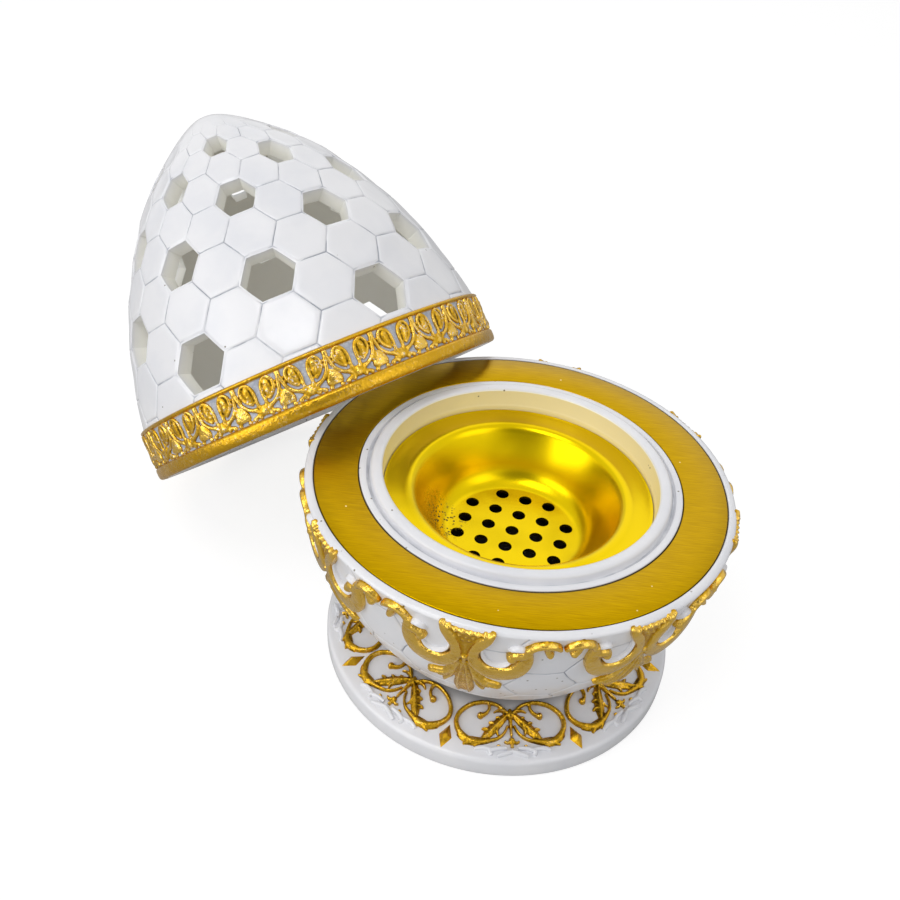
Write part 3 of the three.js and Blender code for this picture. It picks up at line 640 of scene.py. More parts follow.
def open_cell(width, pitch, margin, groove_depth, wall):
    """A tile with a hole through to the inner skin."""
    bm, face = hexagon(width, pitch, groove_depth)
    inset(bm, face, margin, groove_depth - HOLE_RIM_SINK)
    for depth in (*HOLE_RING_DEPTHS, wall):
        face = bmesh.ops.extrude_discrete_faces(bm, faces=face)["faces"]
        for v in face[0].verts:
            v.co.z = -depth
    bmesh.ops.delete(bm, geom=face, context="FACES_ONLY")
    opened = bm.faces.layers.int["open"]
    for f in bm.faces:
        f[opened] = 1
    return as_mesh(bm, "open_cell")


def inner_cell(width, pitch, margin, wall, pierced):
    """A tile of the lid's inner skin, pierced or whole."""
    bm, face = hexagon(width, pitch, wall)
    inset(bm, face, margin)
    if pierced:
        bmesh.ops.delete(bm, geom=face, context="FACES_ONLY")
    else:
        bmesh.ops.poke(bm, faces=ring_in(bm, face, INNER_RING_SHARE, 0))
    return as_mesh(bm, "inner_cell")


def tiled(bm, tile, across, down):
    """Adds a copy of a tile to the flat sheet."""
    known = len(bm.verts)
    bm.from_mesh(tile)
    bm.verts.ensure_lookup_table()
    bmesh.ops.translate(bm, vec=(across, down, 0), verts=bm.verts[known:])


def rolled(bm, radius):
    """Rolls the flat sheet into a tube about the Z axis and welds its tiles and its seam."""
    for v in bm.verts:
        turn, reach = v.co.x / radius, radius + v.co.z
        v.co = (reach * math.cos(turn), reach * math.sin(turn), v.co.y)
    bmesh.ops.remove_doubles(bm, verts=bm.verts[:], dist=WELD)


def on_tube(v, radius):
    """Turn, height and lift of a point of the tube."""
    return math.atan2(v.co.y, v.co.x), v.co.z, radius_of(v.co) - radius


def trimmed(bm, height, keep_above):
    """Cuts the tube off at a height."""
    bmesh.ops.bisect_plane(bm, geom=bm.verts[:] + bm.edges[:] + bm.faces[:], dist=0.0001,
                           plane_co=(0, 0, height), plane_no=(0, 0, 1),
                           clear_inner=keep_above, clear_outer=not keep_above)


def wander(turn, down, radius, start, reach):
    """A small smooth shift on a turned surface, the same on each run, closed round the turn."""
    spot = Vector((radius * math.cos(turn), radius * math.sin(turn), down)) * WANDER_PACE
    return noise.noise_vector(spot + Vector((0, 0, start))) * reach


def lid_arc(row):
    """Arc length up the dome of a row of the comb: each row is a little shorter than the last."""
    return LID_FIRST_ROW + LID_ROW_PITCH * (1 - LID_ROW_SHARE ** row) / (1 - LID_ROW_SHARE)


def lid_tube(size):
    """The lid's outer and inner tiles as a tube with two skins, its row pitch and its radius."""
    bm = new_sheet()
    width = math.radians(360 / COMB_COLUMNS) * DOME_OUTSIDE[0][0]
    pitch, margin, depth = LID_ROW_PITCH, size["hole_margin"], size["lid_groove_depth"]
    closed = closed_cell(width, pitch, size["lid_groove_width"], depth, size["cell_flatness"])
    opened = open_cell(width, pitch, margin, depth, LID_WALL)
    inner, pierced = (inner_cell(width, pitch, margin, LID_WALL, hole) for hole in (False, True))
    for column in range(COMB_COLUMNS):
        for row in range(LID_ROWS_FROM, LID_ROWS_TO):
            odd = column % 2
            hole = not odd and 0 <= row < LID_OPEN_ROWS and (column // 2 + row) % 2
            down = (row + 0.5 * odd) * pitch
            tiled(bm, opened if hole else closed, column * width, down)
            tiled(bm, pierced if hole else inner, column * width, down)
    rolled(bm, DOME_OUTSIDE[0][0])
    soften_hole_edges(bm, DOME_OUTSIDE[0][0])
    trimmed(bm, LID_COMB_BOTTOM * pitch, True)
    trimmed(bm, LID_COMB_TOP * pitch, False)
    return bm


def soften_hole_edges(bm, radius):
    """Lifts the outlines of open cells between their corners, so that no line rings a hole."""
    line = bm.verts.layers.float["groove"]
    opened = bm.faces.layers.int["open"]
    for v in bm.verts:
        _, _, lift = on_tube(v, radius)
        between = v[line] and len(v.link_edges) < CORNER_EDGES
        if between and any(f[opened] for f in v.link_faces):
            v[line] = 0.0
            scale = (radius - HOLE_EDGE_SINK) / (radius + lift)
            v.co = (v.co.x * scale, v.co.y * scale, v.co.z)


# Relief

def stroke(bm, points, section, step):
    """Sweeps a section along a stroke by extruding it from place to place, and caps its ends."""
    path = smooth_path(points, step)
    outline = [(-SINK_WIDTH, SINK)] + section + [(SINK_WIDTH, SINK)]
    face, last = None, None
    for i, (across, down, width, height) in enumerate(path):
        ahead, behind = path[min(i + 1, len(path) - 1)], path[max(i - 1, 0)]
        heading = math.atan2(ahead[1] - behind[1], ahead[0] - behind[0])
        share = max(height, LEAST_HEIGHT)
        place = (Matrix.Translation((across, down, 0)) @ Matrix.Rotation(heading, 4, "Z")
                 @ Matrix.Diagonal((1, max(width, LEAST_WIDTH) / 2, share, 1)))
        if face is None:
            start = [bm.verts.new(place @ Vector((0, side, rise if rise >= 0 else SINK / share)))
                     for side, rise in outline]
            face = bm.faces.new(start)
        else:
            face = bmesh.ops.extrude_discrete_faces(bm, faces=[face])["faces"][0]
            bmesh.ops.transform(bm, matrix=place @ last.inverted(), verts=face.verts[:])
        last = place
    bm.faces.new(reversed(start))


def bead(bm, across, down, radius, height):
    """A low round bead sunk into the ground."""
    place = Matrix.Translation((across, down, 0)) @ Matrix.Diagonal((radius, radius, height, 1))
    bmesh.ops.create_uvsphere(bm, u_segments=12, v_segments=8, radius=1.0, matrix=place)


def both_sides(bm, build):
    """Builds something, and again mirrored across the middle."""
    for side in (1, -1):
        known = set(bm.verts)
        build()
        if side < 0:
            bmesh.ops.scale(bm, vec=(-1, 1, 1), verts=[v for v in bm.verts if v not in known])


def drawn(bm, parts, middles, beads, step):
    """Draws a motif flat: strokes by their sections and beads on both sides, then its middle."""
    def half():
        for section, strokes in parts:
            for points in strokes:
                stroke(bm, points, section, step)
        for spot in beads:
            bead(bm, *spot)

    both_sides(bm, half)
    for points in middles:
        stroke(bm, points, CORD_SECTION, step)
    bmesh.ops.recalc_face_normals(bm, faces=bm.faces[:])


def fused(bm, grain):
    """Melts the strokes into one casting with soft joins, and thins its triangles."""
    source = bpy.data.objects.new("strokes", as_mesh(bm, "strokes"))
    bpy.context.scene.collection.objects.link(source)
    melt = source.modifiers.new("Melt", "REMESH")
    melt.mode = "VOXEL"
    melt.voxel_size = grain
    soften = source.modifiers.new("Soften", "SMOOTH")
    soften.factor = 0.5
    soften.iterations = 2
    thin = source.modifiers.new("Thin", "DECIMATE")
    thin.ratio = KEPT_SHARE
    view = bpy.context.evaluated_depsgraph_get()
    motif = bpy.data.meshes.new_from_object(source.evaluated_get(view))
    bpy.data.objects.remove(source)
    return motif


def crests(mesh):
    """How far each point stands out of its surroundings: 0 in a recess, 1 on a ridge."""
    heights = [v.co.z for v in mesh.vertices]
    near = [[i] for i in range(len(heights))]
    for edge in mesh.edges:
        a, b = edge.vertices
        near[a].append(b)
        near[b].append(a)
    around = heights
    for _ in range(CREST_ROUNDS):
        around = [sum(around[i] for i in ring) / len(ring) for ring in near]
    return [held(0.5 + (h - a) / (2 * CREST_REACH)) for h, a in zip(heights, around)]


def neck_shade(radius):
    """Painted shade where the bowl meets its foot, darker towards the neck."""
    return NECK_SHADE * held((NECK_SHADE_EDGE - radius) / NECK_SHADE_REACH)


def white_strokes(strokes, step):
    """Ungilded strokes of both halves, as a mesh."""
    bm = bmesh.new()
    drawn(bm, [(CORD_SECTION, strokes)], [], [], step)
    return as_mesh(bm, "white_strokes")


def added(bm, mesh):
    """Adds a mesh and gives back its points, in their order."""
    known = set(bm.verts)
    bm.from_mesh(mesh)
    return [v for v in bm.verts if v not in known]


def add_motif(bm, motif, ridges=None, gilt=1.0):
    """Adds a flat motif, and marks the ridges and the gilding of its points."""
    fresh = added(bm, motif)
    crest, gold = bm.verts.layers.float["crest"], bm.verts.layers.float["gilt"]
    for v, ridge in zip(fresh, ridges or [PLAIN_TONE] * len(fresh)):
        v[crest] = ridge
        v[gold] = gilt
    return fresh


def on_foot(verts, middle):
    """Bends points of degrees across, radius and height onto the foot's top."""
    profile = smooth_path(FOOT_TOP, FOOT_STEP)
    lengths = arc_lengths(profile)
    radii = [p[0] for p in profile]
    for v in verts:
        i = min(max(bisect.bisect_right(radii, v.co.y) - 1, 0), len(radii) - 2)
        share = (v.co.y - radii[i]) / (radii[i + 1] - radii[i])
        arc = lengths[i] + share * (lengths[i + 1] - lengths[i])
        v.co = skin_point(profile, lengths, -1, math.radians(middle + v.co.x), arc, v.co.z)


def gilded_row(name, finish_name, first_turn, build):
    """Makes the like pieces of a gilded motif, each built at its own turn in degrees."""
    for i in range(MOTIFS):
        bm = marked("crest", "gilt")
        build(bm, first_turn + 360 / MOTIFS * i)
        bmesh.ops.reverse_faces(bm, faces=bm.faces[:])
        finished(bm, f"{name}_{i + 1}", "burner", [f"{name.lower()}_{i + 1}"],
                 [finish(finish_name)])


# Materials

def add_node(tree, kind, inputs=(), **settings):
    """Adds a shader node with its settings, and its linked or set inputs.

    A node given as an input stands for the first of its outputs that is in use.
    """
    node = tree.nodes.new(f"ShaderNode{kind}")
    for name, value in settings.items():
        setattr(node, name, value)
    for name, value in dict(inputs).items():
        if isinstance(value, bpy.types.Node):
            value = next(socket for socket in value.outputs if socket.enabled)
        if isinstance(value, bpy.types.NodeSocket):
            tree.links.new(value, node.inputs[name])
        else:
            node.inputs[name].default_value = value
    return node


def emptied(owner):
    """Clears the nodes of a material or world, and gives the function that adds its nodes."""
    owner.use_nodes = True
    owner.node_tree.nodes.clear()
    return functools.partial(add_node, owner.node_tree)


def new_material(name):
    """Starts a material: the function that adds its nodes, and the colours."""
    return emptied(bpy.data.materials.new(name)), bpy.context.scene.mabkhara_colours


def per(millimetres):
    """Pattern scale on metre coordinates whose features are this many millimetres apart."""
    return 1 / (millimetres * MM)


def lacquered_resin(name, pit_pitch):
    """Cast polyester resin under sprayed pearl lacquer: satin white, pitted, with painted shade in
    grey.
    """
    add, tones = new_material(name)
    place = add("TexCoord").outputs["Object"]
    mottle = add("TexNoise", {"Vector": place, "Scale": per(14), "Detail": 4.0})
    shade = add("MapRange", {"Value": mottle, "From Min": 0.42, "From Max": 0.68})
    # Painted shade in the lines, more in one place than in another
    line = add("Attribute", attribute_name="groove").outputs["Fac"]
    line = add("MapRange", {"Value": line, "From Min": 0.12, "From Max": 0.85})
    uneven = add("TexNoise", {"Vector": place, "Scale": per(6), "Detail": 3.0})
    left = add("MapRange", {"Value": uneven, "From Min": 0.3, "From Max": 0.62})
    shade_wash = add("Math", {0: line, 1: left}, operation="MULTIPLY")
    # No lacquer reaches the lid's inside, and its bare resin is set pale to paint light in there;
    # the collar's inner wall takes the gold cup's painted reflection
    inner = add("Attribute", attribute_name="inside").outputs["Fac"]
    bare = add("MapRange", {"Value": inner, "From Min": 0.0, "From Max": 1.0})
    reflected = add("MapRange", {"Value": inner, "From Min": 1.0, "From Max": 2.0})
    # Painted shade in the plate's gaps and where bowl meets foot
    soot_and_shade = add("Attribute", attribute_name="painted_shade").outputs["Fac"]
    soot_and_shade = add("Math", {0: soot_and_shade, 1: 0.94}, operation="MULTIPLY")
    # Pits some 0.45 mm across, in patches
    pits = add("TexVoronoi", {"Vector": place, "Scale": per(pit_pitch), "Randomness": 1.0})
    pits = add("MapRange", {"Value": pits, "From Min": 0.3 / pit_pitch,
                            "From Max": 0.16 / pit_pitch})
    patches = add("TexNoise", {"Vector": place, "Scale": per(21), "Detail": 1.0})
    patches = add("MapRange", {"Value": patches, "From Min": 0.46, "From Max": 0.52})
    pit = add("Math", {0: pits, 1: patches}, operation="MULTIPLY")
    base = tones.resin
    for mask, tone in ((shade, tones.resin_shade), (shade_wash, tones.groove), (bare, tones.raw_resin_brightened),
                       (reflected, tones.cup_reflection), (soot_and_shade, tones.soot_and_shade), (pit, tones.pit)):
        base = add("Mix", {MASK: mask, UNDER: base, OVER: tone}, data_type="RGBA")
    # Orange peel of the lacquer, drawn at 1.3 mm so that it shows
    peel = add("TexNoise", {"Vector": place, "Scale": per(1.3), "Detail": 3.0})
    relief = add("Math", {0: peel, 1: pit}, operation="SUBTRACT")
    bump = add("Bump", {"Strength": 0.12, "Distance": 0.2 * MM, "Height": relief})
    gloss = add("MapRange", {"Value": uneven, "To Min": 0.3, "To Max": 0.46})
    shader = add("BsdfPrincipled", {"Base Color": base, "Roughness": gloss, "IOR": 1.5,
                                    "Normal": bump, "Coat Weight": 0.6, "Coat Roughness": 0.2})
    add("OutputMaterial", {"Surface": shader})


def soot_and_shade_resin(name):
    """Cast resin under soot and a dust of ash in the ash space: matt, clouded grey, near black as
    soot and painted shade.
    """
    add, tones = new_material(name)
    place = add("TexCoord").outputs["Object"]
    cloud = add("TexNoise", {"Vector": place, "Scale": per(9), "Detail": 5.0})
    cloud = add("MapRange", {"Value": cloud, "From Min": 0.42, "From Max": 0.66})
    grain = add("TexNoise", {"Vector": place, "Scale": per(0.8), "Detail": 3.0})
    dust = add("MapRange", {"Value": grain, "From Min": 0.6, "From Max": 0.72})
    base = tones.soot_and_shade
    for mask, tone in ((cloud, tones.ash), (dust, tones.ash_dust)):
        base = add("Mix", {MASK: mask, UNDER: base, OVER: tone}, data_type="RGBA")
    bump = add("Bump", {"Strength": 0.3, "Distance": 0.3 * MM, "Height": grain})
    shader = add("BsdfPrincipled", {"Base Color": base, "Roughness": 0.92, "Normal": bump})
    add("OutputMaterial", {"Surface": shader})


def gilded(name, light, wear, roughness, patchy):
    """Gold paint rubbed over relief, worn off in places: ridges bright and recesses brown, partly
    painted light and shade.
    """
    add, tones = new_material(name)
    place = add("TexCoord").outputs["Object"]
    ridge = add("Attribute", attribute_name="crest").outputs["Fac"]
    gilt = add("Attribute", attribute_name="gilt").outputs["Fac"]
    cloud = add("TexNoise", {"Vector": place, "Scale": per(2.6), "Detail": 5.0})
    grit = add("TexNoise", {"Vector": place, "Scale": per(0.5), "Detail": 4.0})
    # Brush strokes and grit together shift a ridge's tone: 0.5 is the paint's own colour. The ridge
    # term makes ridges lighter and recesses browner, partly the paint's antiquing, partly painted
    # highlight and shade
    tone = add("Math", {0: cloud, 1: patchy, 2: ridge}, operation="MULTIPLY_ADD")
    tone = add("Math", {0: grit, 1: GRIT_SHARE, 2: tone}, operation="MULTIPLY_ADD")
    tone = add("Math", {0: tone, 1: light - (GRIT_SHARE + patchy) / 2}, operation="ADD")
    bright = add("MapRange", {"Value": tone, "From Min": 0.56, "From Max": 0.84})
    brown = add("MapRange", {"Value": tone, "From Min": 0.4, "From Max": 0.14})
    chips = add("MapRange", {"Value": grit, "From Min": 0.56, "From Max": 0.66})
    rubbed = add("MapRange", {"Value": cloud, "From Min": 0.5, "From Max": 0.6})
    worn = add("Math", {0: chips, 1: rubbed}, operation="MULTIPLY")
    ungilt = add("Math", {0: 1.0, 1: gilt}, operation="SUBTRACT")
    bare = add("Math", {0: worn, 1: wear, 2: ungilt}, operation="MULTIPLY_ADD", use_clamp=True)
    # Bare casting, with painted shade in grey in its recesses
    shade_wash = add("MapRange", {"Value": tone, "From Min": 0.5, "From Max": 0.1})
    white = add("Mix", {MASK: shade_wash, UNDER: tones.resin, OVER: tones.relief_shade}, data_type="RGBA")
    base = tones.gilding
    for mask, over in ((bright, tones.gilding_light), (brown, tones.gilding_deep), (bare, white)):
        base = add("Mix", {MASK: mask, UNDER: base, OVER: over}, data_type="RGBA")
    metal = add("MapRange", {"Value": bare, "To Min": 0.95, "To Max": 0.0})
    # Lumps of the casting 1.2 mm apart under the paint's brush marks
    lumps = add("TexNoise", {"Vector": place, "Scale": per(1.2), "Detail": 2.0})
    lumps = add("Math", {0: grit, 1: 0.3, 2: lumps}, operation="MULTIPLY_ADD")
    lumps = add("Math", {0: lumps, 1: gilt}, operation="MULTIPLY")
    bump = add("Bump", {"Strength": 0.25 + patchy / 2, "Distance": 0.4 * MM, "Height": lumps})
    gloss = add("MapRange", {"Value": tone, "From Min": 0.2, "From Max": 0.85,
                             "To Min": roughness + 0.16, "To Max": roughness - 0.14})
    shader = add("BsdfPrincipled", {"Base Color": base, "Metallic": metal, "Roughness": gloss,
                                    "Normal": bump})
    add("OutputMaterial", {"Surface": shader})


def brushed_plate(name):
    """Anodised aluminium, brushed straight from left to right: a silky sheen in fine lines."""
    add, tones = new_material(name)
    place = add("TexCoord").outputs["Object"]
    # Lines 0.22 mm apart and some 5 mm long, coarser than the real ones, so that they show
    stretched = add("Mapping", {"Vector": place, "Rotation": (0, 0, math.radians(-3.8)),
                                "Scale": (per(5), per(0.22), per(6))})
    lines = add("TexNoise", {"Vector": stretched, "Scale": 1.0, "Detail": 3.0})
    crest = add("MapRange", {"Value": lines, "From Min": 0.3, "From Max": 0.7})
    specks = add("TexVoronoi", {"Vector": place, "Scale": per(5.5), "Randomness": 1.0})
    dust = add("MapRange", {"Value": specks, "From Min": 0.045, "From Max": 0.02})
    base = tones.plate_line
    for mask, tone in ((crest, tones.plate), (dust, tones.plate_dust)):
        base = add("Mix", {MASK: mask, UNDER: base, OVER: tone}, data_type="RGBA")
    bump = add("Bump", {"Strength": 0.3, "Distance": 0.1 * MM, "Height": lines})
    cloud = add("TexNoise", {"Vector": place, "Scale": per(18), "Detail": 2.0})
    gloss = add("MapRange", {"Value": cloud, "To Min": 0.24, "To Max": 0.38})
    shader = add("BsdfPrincipled", {"Base Color": base, "Metallic": 1.0, "Roughness": gloss,
                                    "Normal": bump})
    add("OutputMaterial", {"Surface": shader})


def spun_cup(name):
    """Aluminium spun on a former, anodised gold: mirror-like, with faint turning rings and soot."""
    add, tones = new_material(name)
    place = add("TexCoord").outputs["Object"]
    # Turning rings 0.7 mm apart: rings need the distance from the cup's axis, which is the Z axis
    flat = add("VectorMath", {0: place, 1: (1, 1, 0)}, operation="MULTIPLY")
    radius = add("VectorMath", {0: flat}, operation="LENGTH").outputs["Value"]
    across = add("Math", {0: radius, 1: per(0.7)}, operation="MULTIPLY")
    rings = add("TexNoise", {"W": across, "Scale": 1.0, "Detail": 2.0}, noise_dimensions="1D")
    stain = add("TexNoise", {"Vector": place, "Scale": per(16), "Detail": 2.0})
    stain = add("MapRange", {"Value": stain, "From Min": 0.5, "From Max": 0.72})
    # Soot gathers on the wall's foot, left of the holes
    near = add("VectorMath", {0: place, 1: Vector(CUP_SOOT_PLACE) * MM}, operation="DISTANCE")
    near = add("MapRange", {"Value": near.outputs["Value"], "From Min": 7.8 * MM,
                            "From Max": 3 * MM})
    grains = add("TexVoronoi", {"Vector": place, "Scale": per(0.9), "Randomness": 1.0})
    grains = add("MapRange", {"Value": grains, "From Min": 0.36, "From Max": 0.26})
    soot_and_shade = add("Math", {0: near, 1: grains}, operation="MULTIPLY")
    base = tones.cup
    for mask, tone in ((stain, tones.cup_stain), (soot_and_shade, tones.soot_and_shade)):
        base = add("Mix", {MASK: mask, UNDER: base, OVER: tone}, data_type="RGBA")
    bump = add("Bump", {"Strength": 0.05, "Distance": 0.1 * MM, "Height": rings})
    gloss = add("MapRange", {"Value": soot_and_shade, "To Min": 0.27, "To Max": 0.8})
    metal = add("MapRange", {"Value": soot_and_shade, "To Min": 1.0, "To Max": 0.0})
    shader = add("BsdfPrincipled", {"Base Color": base, "Metallic": metal, "Roughness": gloss,
                                    "Normal": bump})
    add("OutputMaterial", {"Surface": shader})


def pressed_felt(name):
    """Pressed wool felt: dull and dark, with a short nap."""
    add, tones = new_material(name)
    place = add("TexCoord").outputs["Object"]
    nap = add("TexNoise", {"Vector": place, "Scale": per(0.6), "Detail": 6.0})
    base = add("Mix", {MASK: nap, UNDER: tones.felt, OVER: tones.felt_nap}, data_type="RGBA")
    bump = add("Bump", {"Strength": 0.6, "Distance": 0.3 * MM, "Height": nap})
    shader = add("BsdfPrincipled", {"Base Color": base, "Roughness": 0.95, "Normal": bump,
                                    "Sheen Weight": 0.4})
    add("OutputMaterial", {"Surface": shader})


def studio_floor(name):
    """Matt studio paper: white to the camera apart from the object's shadow, grey in its bounce."""
    add, tones = new_material(name)
    matt = add("BsdfDiffuse", {"Color": tones.floor})
    shaded = add("BsdfDiffuse", {"Color": tones.floor_shaded})
    glow = add("Emission", {"Color": linear(WHITE), "Strength": FLOOR_GLOW})
    shown = add("AddShader", {0: shaded, 1: glow})
    seen = add("LightPath").outputs["Is Camera Ray"]
    either = add("MixShader", {0: seen, 1: matt, 2: shown})
    add("OutputMaterial", {"Surface": either})


FINISHES = {
    "cast_resin_pearl_lacquer": (lacquered_resin, {"pit_pitch": 5}),
    "cast_resin_pitted_lacquer": (lacquered_resin, {"pit_pitch": 3.1}),
    "cast_resin_under_soot": (soot_and_shade_resin, {}),
    "gold_paint_scrolls": (
        gilded, {"light": 0.21, "wear": 0.1, "roughness": 0.34, "patchy": 0.6}),
    "gold_paint_band": (
        gilded, {"light": -0.03, "wear": 0.8, "roughness": 0.36, "patchy": 0.8}),
    "gold_paint_moulding": (
        gilded, {"light": -0.04, "wear": 0.1, "roughness": 0.3, "patchy": 0.35}),
    # The foot's gold is set darker than the scrolls': painted shade of the bowl above it
    "gold_paint_foot": (
        gilded, {"light": -0.16, "wear": 0.1, "roughness": 0.28, "patchy": 0.9}),
    "anodised_aluminium_brushed": (brushed_plate, {}),
    "anodised_aluminium_spun": (spun_cup, {}),
    "wool_felt_pressed": (pressed_felt, {}),
    "studio_floor": (studio_floor, {}),
}


def finish(name):
    """A finish by name, made once."""
    if name not in bpy.data.materials:
        maker, settings = FINISHES[name]
        maker(name, **settings)
    return bpy.data.materials[name]


# Operators

class MABKHARA_OT_lid(bpy.types.Operator):
    """Models the hollow dome with its raised cells and open cells"""

    bl_idname = "mabkhara.lid"
    bl_label = "Pierced lid"

    def execute(self, context):
        size = sizes()
        bm = lid_tube(size)
        loops = self.open_loops(bm)
        profile = smooth_path(DOME_OUTSIDE, DOME_STEP)
        lengths = arc_lengths(profile)
        tube = DOME_OUTSIDE[0][0]
        inside, line = bm.verts.layers.float["inside"], bm.verts.layers.float["groove"]
        noise.seed_set(WANDER_SEED)
        for v in bm.verts:
            turn, height, lift = on_tube(v, tube)
            # Bare resin inside, set pale in its finish to paint light into the lid's shaded inside
            v[inside] = held(-LID_BARE_DEPTH - lift)
            row = height / LID_ROW_PITCH
            shift = wander(turn, height, tube, LID_WANDER_START, size["hand_wander"])
            shift *= held(min(row - LID_COMB_BOTTOM, LID_COMB_TOP - row) / LID_CALM)
            # The lines run out below the smooth tip
            outer = lift > -LID_SKIN_DEPTH
            fade = held((LID_COMB_TOP - LID_FADE_END - row) / LID_FADE_ROWS) if outer else 1.0
            v[line] *= LID_LINE_SHARE * fade
            turn += math.radians(LID_COLUMN_TURN) + shift.x / tube
            v.co = skin_point(profile, lengths, 1, turn, lid_arc(row) + shift.y, lift * fade)
        tip = [skin_point(profile, lengths, 1, 0, arc, 0) for arc in LID_TIP_ARCS]
        cap(bm, follow(bm, loops["outer top"], [(p.x, p.z) for p in tip]), DOME_OUTSIDE[-1][1])
        cap(bm, loops["inner top"], DOME_OUTSIDE[-1][1] - LID_TIP_WALL)
        skirt = follow(bm, loops["outer bottom"], LID_SKIRT)
        bmesh.ops.bridge_loops(bm, edges=skirt + loops["inner bottom"])
        bmesh.ops.recalc_face_normals(bm, faces=bm.faces[:])
        finished(bm, "Lid_dome", "lid", ["lid_dome"], [finish("cast_resin_pearl_lacquer")],
                 lid_matrix())
        return {"FINISHED"}

    def open_loops(self, bm):
        """The four open loops of the tube: top and bottom of its outer and inner skins."""
        loops = {"outer top": [], "inner top": [], "outer bottom": [], "inner bottom": []}
        for e in (e for e in bm.edges if e.is_boundary):
            _, height, lift = on_tube(e.verts[0], DOME_OUTSIDE[0][0])
            skin = "outer" if lift > -LID_WALL / 2 else "inner"
            loops[f"{skin} {'top' if height > LID_ROW_PITCH else 'bottom'}"].append(e)
        return loops


class MABKHARA_OT_band(bpy.types.Operator):
    """Models the gilded band round the lid's rim, with its fans"""

    bl_idname = "mabkhara.band"
    bl_label = "Relief band"

    def execute(self, context):
        ring = marked("crest", "gilt")
        spun(ring, BAND_FACE + [BAND_FACE[0]])
        close_up(ring)
        crest, gold = ring.verts.layers.float["crest"], ring.verts.layers.float["gilt"]
        for v in ring.verts:
            # The band's recessed ground is bare casting with a low tone, which greys it as painted
            # shade
            ground = in_zone(v.co, BAND_GROUND)
            v[crest] = GROUND_TONE if ground else PLAIN_TONE
            v[gold] = 0.0 if ground else 1.0
        finished(ring, "Lid_band", "lid", ["lid_band"], [finish("gold_paint_moulding")],
                 lid_matrix())
        flat = bmesh.new()
        drawn(flat, [(CORD_SECTION, FAN_STROKES)], FAN_MIDDLES + FAN_LEAVES, FAN_BEADS, FINE_STEP)
        motif = fused(flat, sizes()["fan_grain"])
        ridges = crests(motif)
        fans = marked("crest", "gilt")
        for i in range(BAND_FANS):
            middle = math.radians(BAND_TURN + 360 / BAND_FANS * i)
            for v in add_motif(fans, motif, ridges):
                radius = BAND_RECESS_RADIUS + v.co.z * FAN_RELIEF
                turn = middle + v.co.x / BAND_RECESS_RADIUS
                v.co = (radius * math.cos(turn), radius * math.sin(turn), v.co.y)
        finished(fans, "Lid_band_fans", "lid", ["lid_band"], [finish("gold_paint_band")],
                 lid_matrix())
        return {"FINISHED"}


class MABKHARA_OT_bowl(bpy.types.Operator):
    """Models the bowl's casting with its honeycomb lines, collar and ash space"""

    bl_idname = "mabkhara.bowl"
    bl_label = "Bowl"

    def execute(self, context):
        size = sizes()
        bm = new_sheet()
        tube = BOWL_OUTSIDE[0][0]
        width = math.radians(360 / COMB_COLUMNS) * tube
        tile = closed_cell(width, BOWL_ROW_PITCH, size["bowl_groove_width"],
                           size["bowl_groove_depth"], 0)
        for column in range(COMB_COLUMNS):
            for row in BOWL_ROWS:
                down = BOWL_FIRST_ROW + (row + 0.5 * (column % 2)) * BOWL_ROW_PITCH
                tiled(bm, tile, column * width, down)
        rolled(bm, tube)
        trimmed(bm, BOWL_COMB_TOP, True)
        trimmed(bm, BOWL_COMB_BOTTOM, False)
        profile = smooth_path(BOWL_OUTSIDE, BOWL_STEP)
        lengths = arc_lengths(profile)
        reach = BOWL_WANDER * size["hand_wander"]
        noise.seed_set(WANDER_SEED)
        for v in bm.verts:
            turn, down, lift = on_tube(v, tube)
            shift = wander(turn, down, tube, BOWL_WANDER_START, reach)
            shift *= held(min(down - BOWL_COMB_TOP, BOWL_COMB_BOTTOM - down) / BOWL_CALM)
            turn += math.radians(BOWL_COLUMN_TURN) + shift.x / tube
            v.co = skin_point(profile, lengths, -1, turn, down + shift.y, lift)
        rims = [e for e in bm.edges if e.is_boundary]
        above = [e for e in rims if e.verts[0].co.z > BOWL_MIDDLE]
        below = [e for e in rims if e.verts[0].co.z < BOWL_MIDDLE]
        cap(bm, follow(bm, above, BOWL_TOP + BOWL_INSIDE), BOWL_INSIDE[-1][1])
        cap(bm, follow(bm, below, BOWL_OUTSIDE[-1:] + BOWL_UNDERSIDE), BOWL_UNDERSIDE[-1][1])
        self.mark(bm)
        bmesh.ops.recalc_face_normals(bm, faces=bm.faces[:])
        skins = [finish("cast_resin_pitted_lacquer"), finish("cast_resin_under_soot")]
        finished(bm, "Bowl", "burner", ["bowl"], skins)
        return {"FINISHED"}

    def mark(self, bm):
        """Marks dirt, heated resin and wash on the casting, and gives the ash space its skin."""
        marks = bm.verts.layers.float
        painted_shade, inside, line = marks["painted_shade"], marks["inside"], marks["groove"]
        for v in bm.verts:
            # Painted shade in the dark gaps round the ring plate
            if any(in_zone(v.co, gap) for gap in PLATE_GAPS):
                v[painted_shade] = 1.0
            # Painted shade under the bowl, darker towards its neck
            elif v.co.z < NECK_SHADE_TOP:
                v[painted_shade] = neck_shade(radius_of(v.co))
            # Painted reflection of the gold cup on the collar's inner wall
            if in_zone(v.co, CUP_REFLECTION_WALL):
                v[inside] = 2.0
            # Painted shade in the collar's groove
            if in_zone(v.co, COLLAR_GROOVE):
                v[line] = COLLAR_GROOVE_SHADE
        for face in bm.faces:
            face.material_index = int(in_zone(face.calc_center_median(), ASH_SPACE))


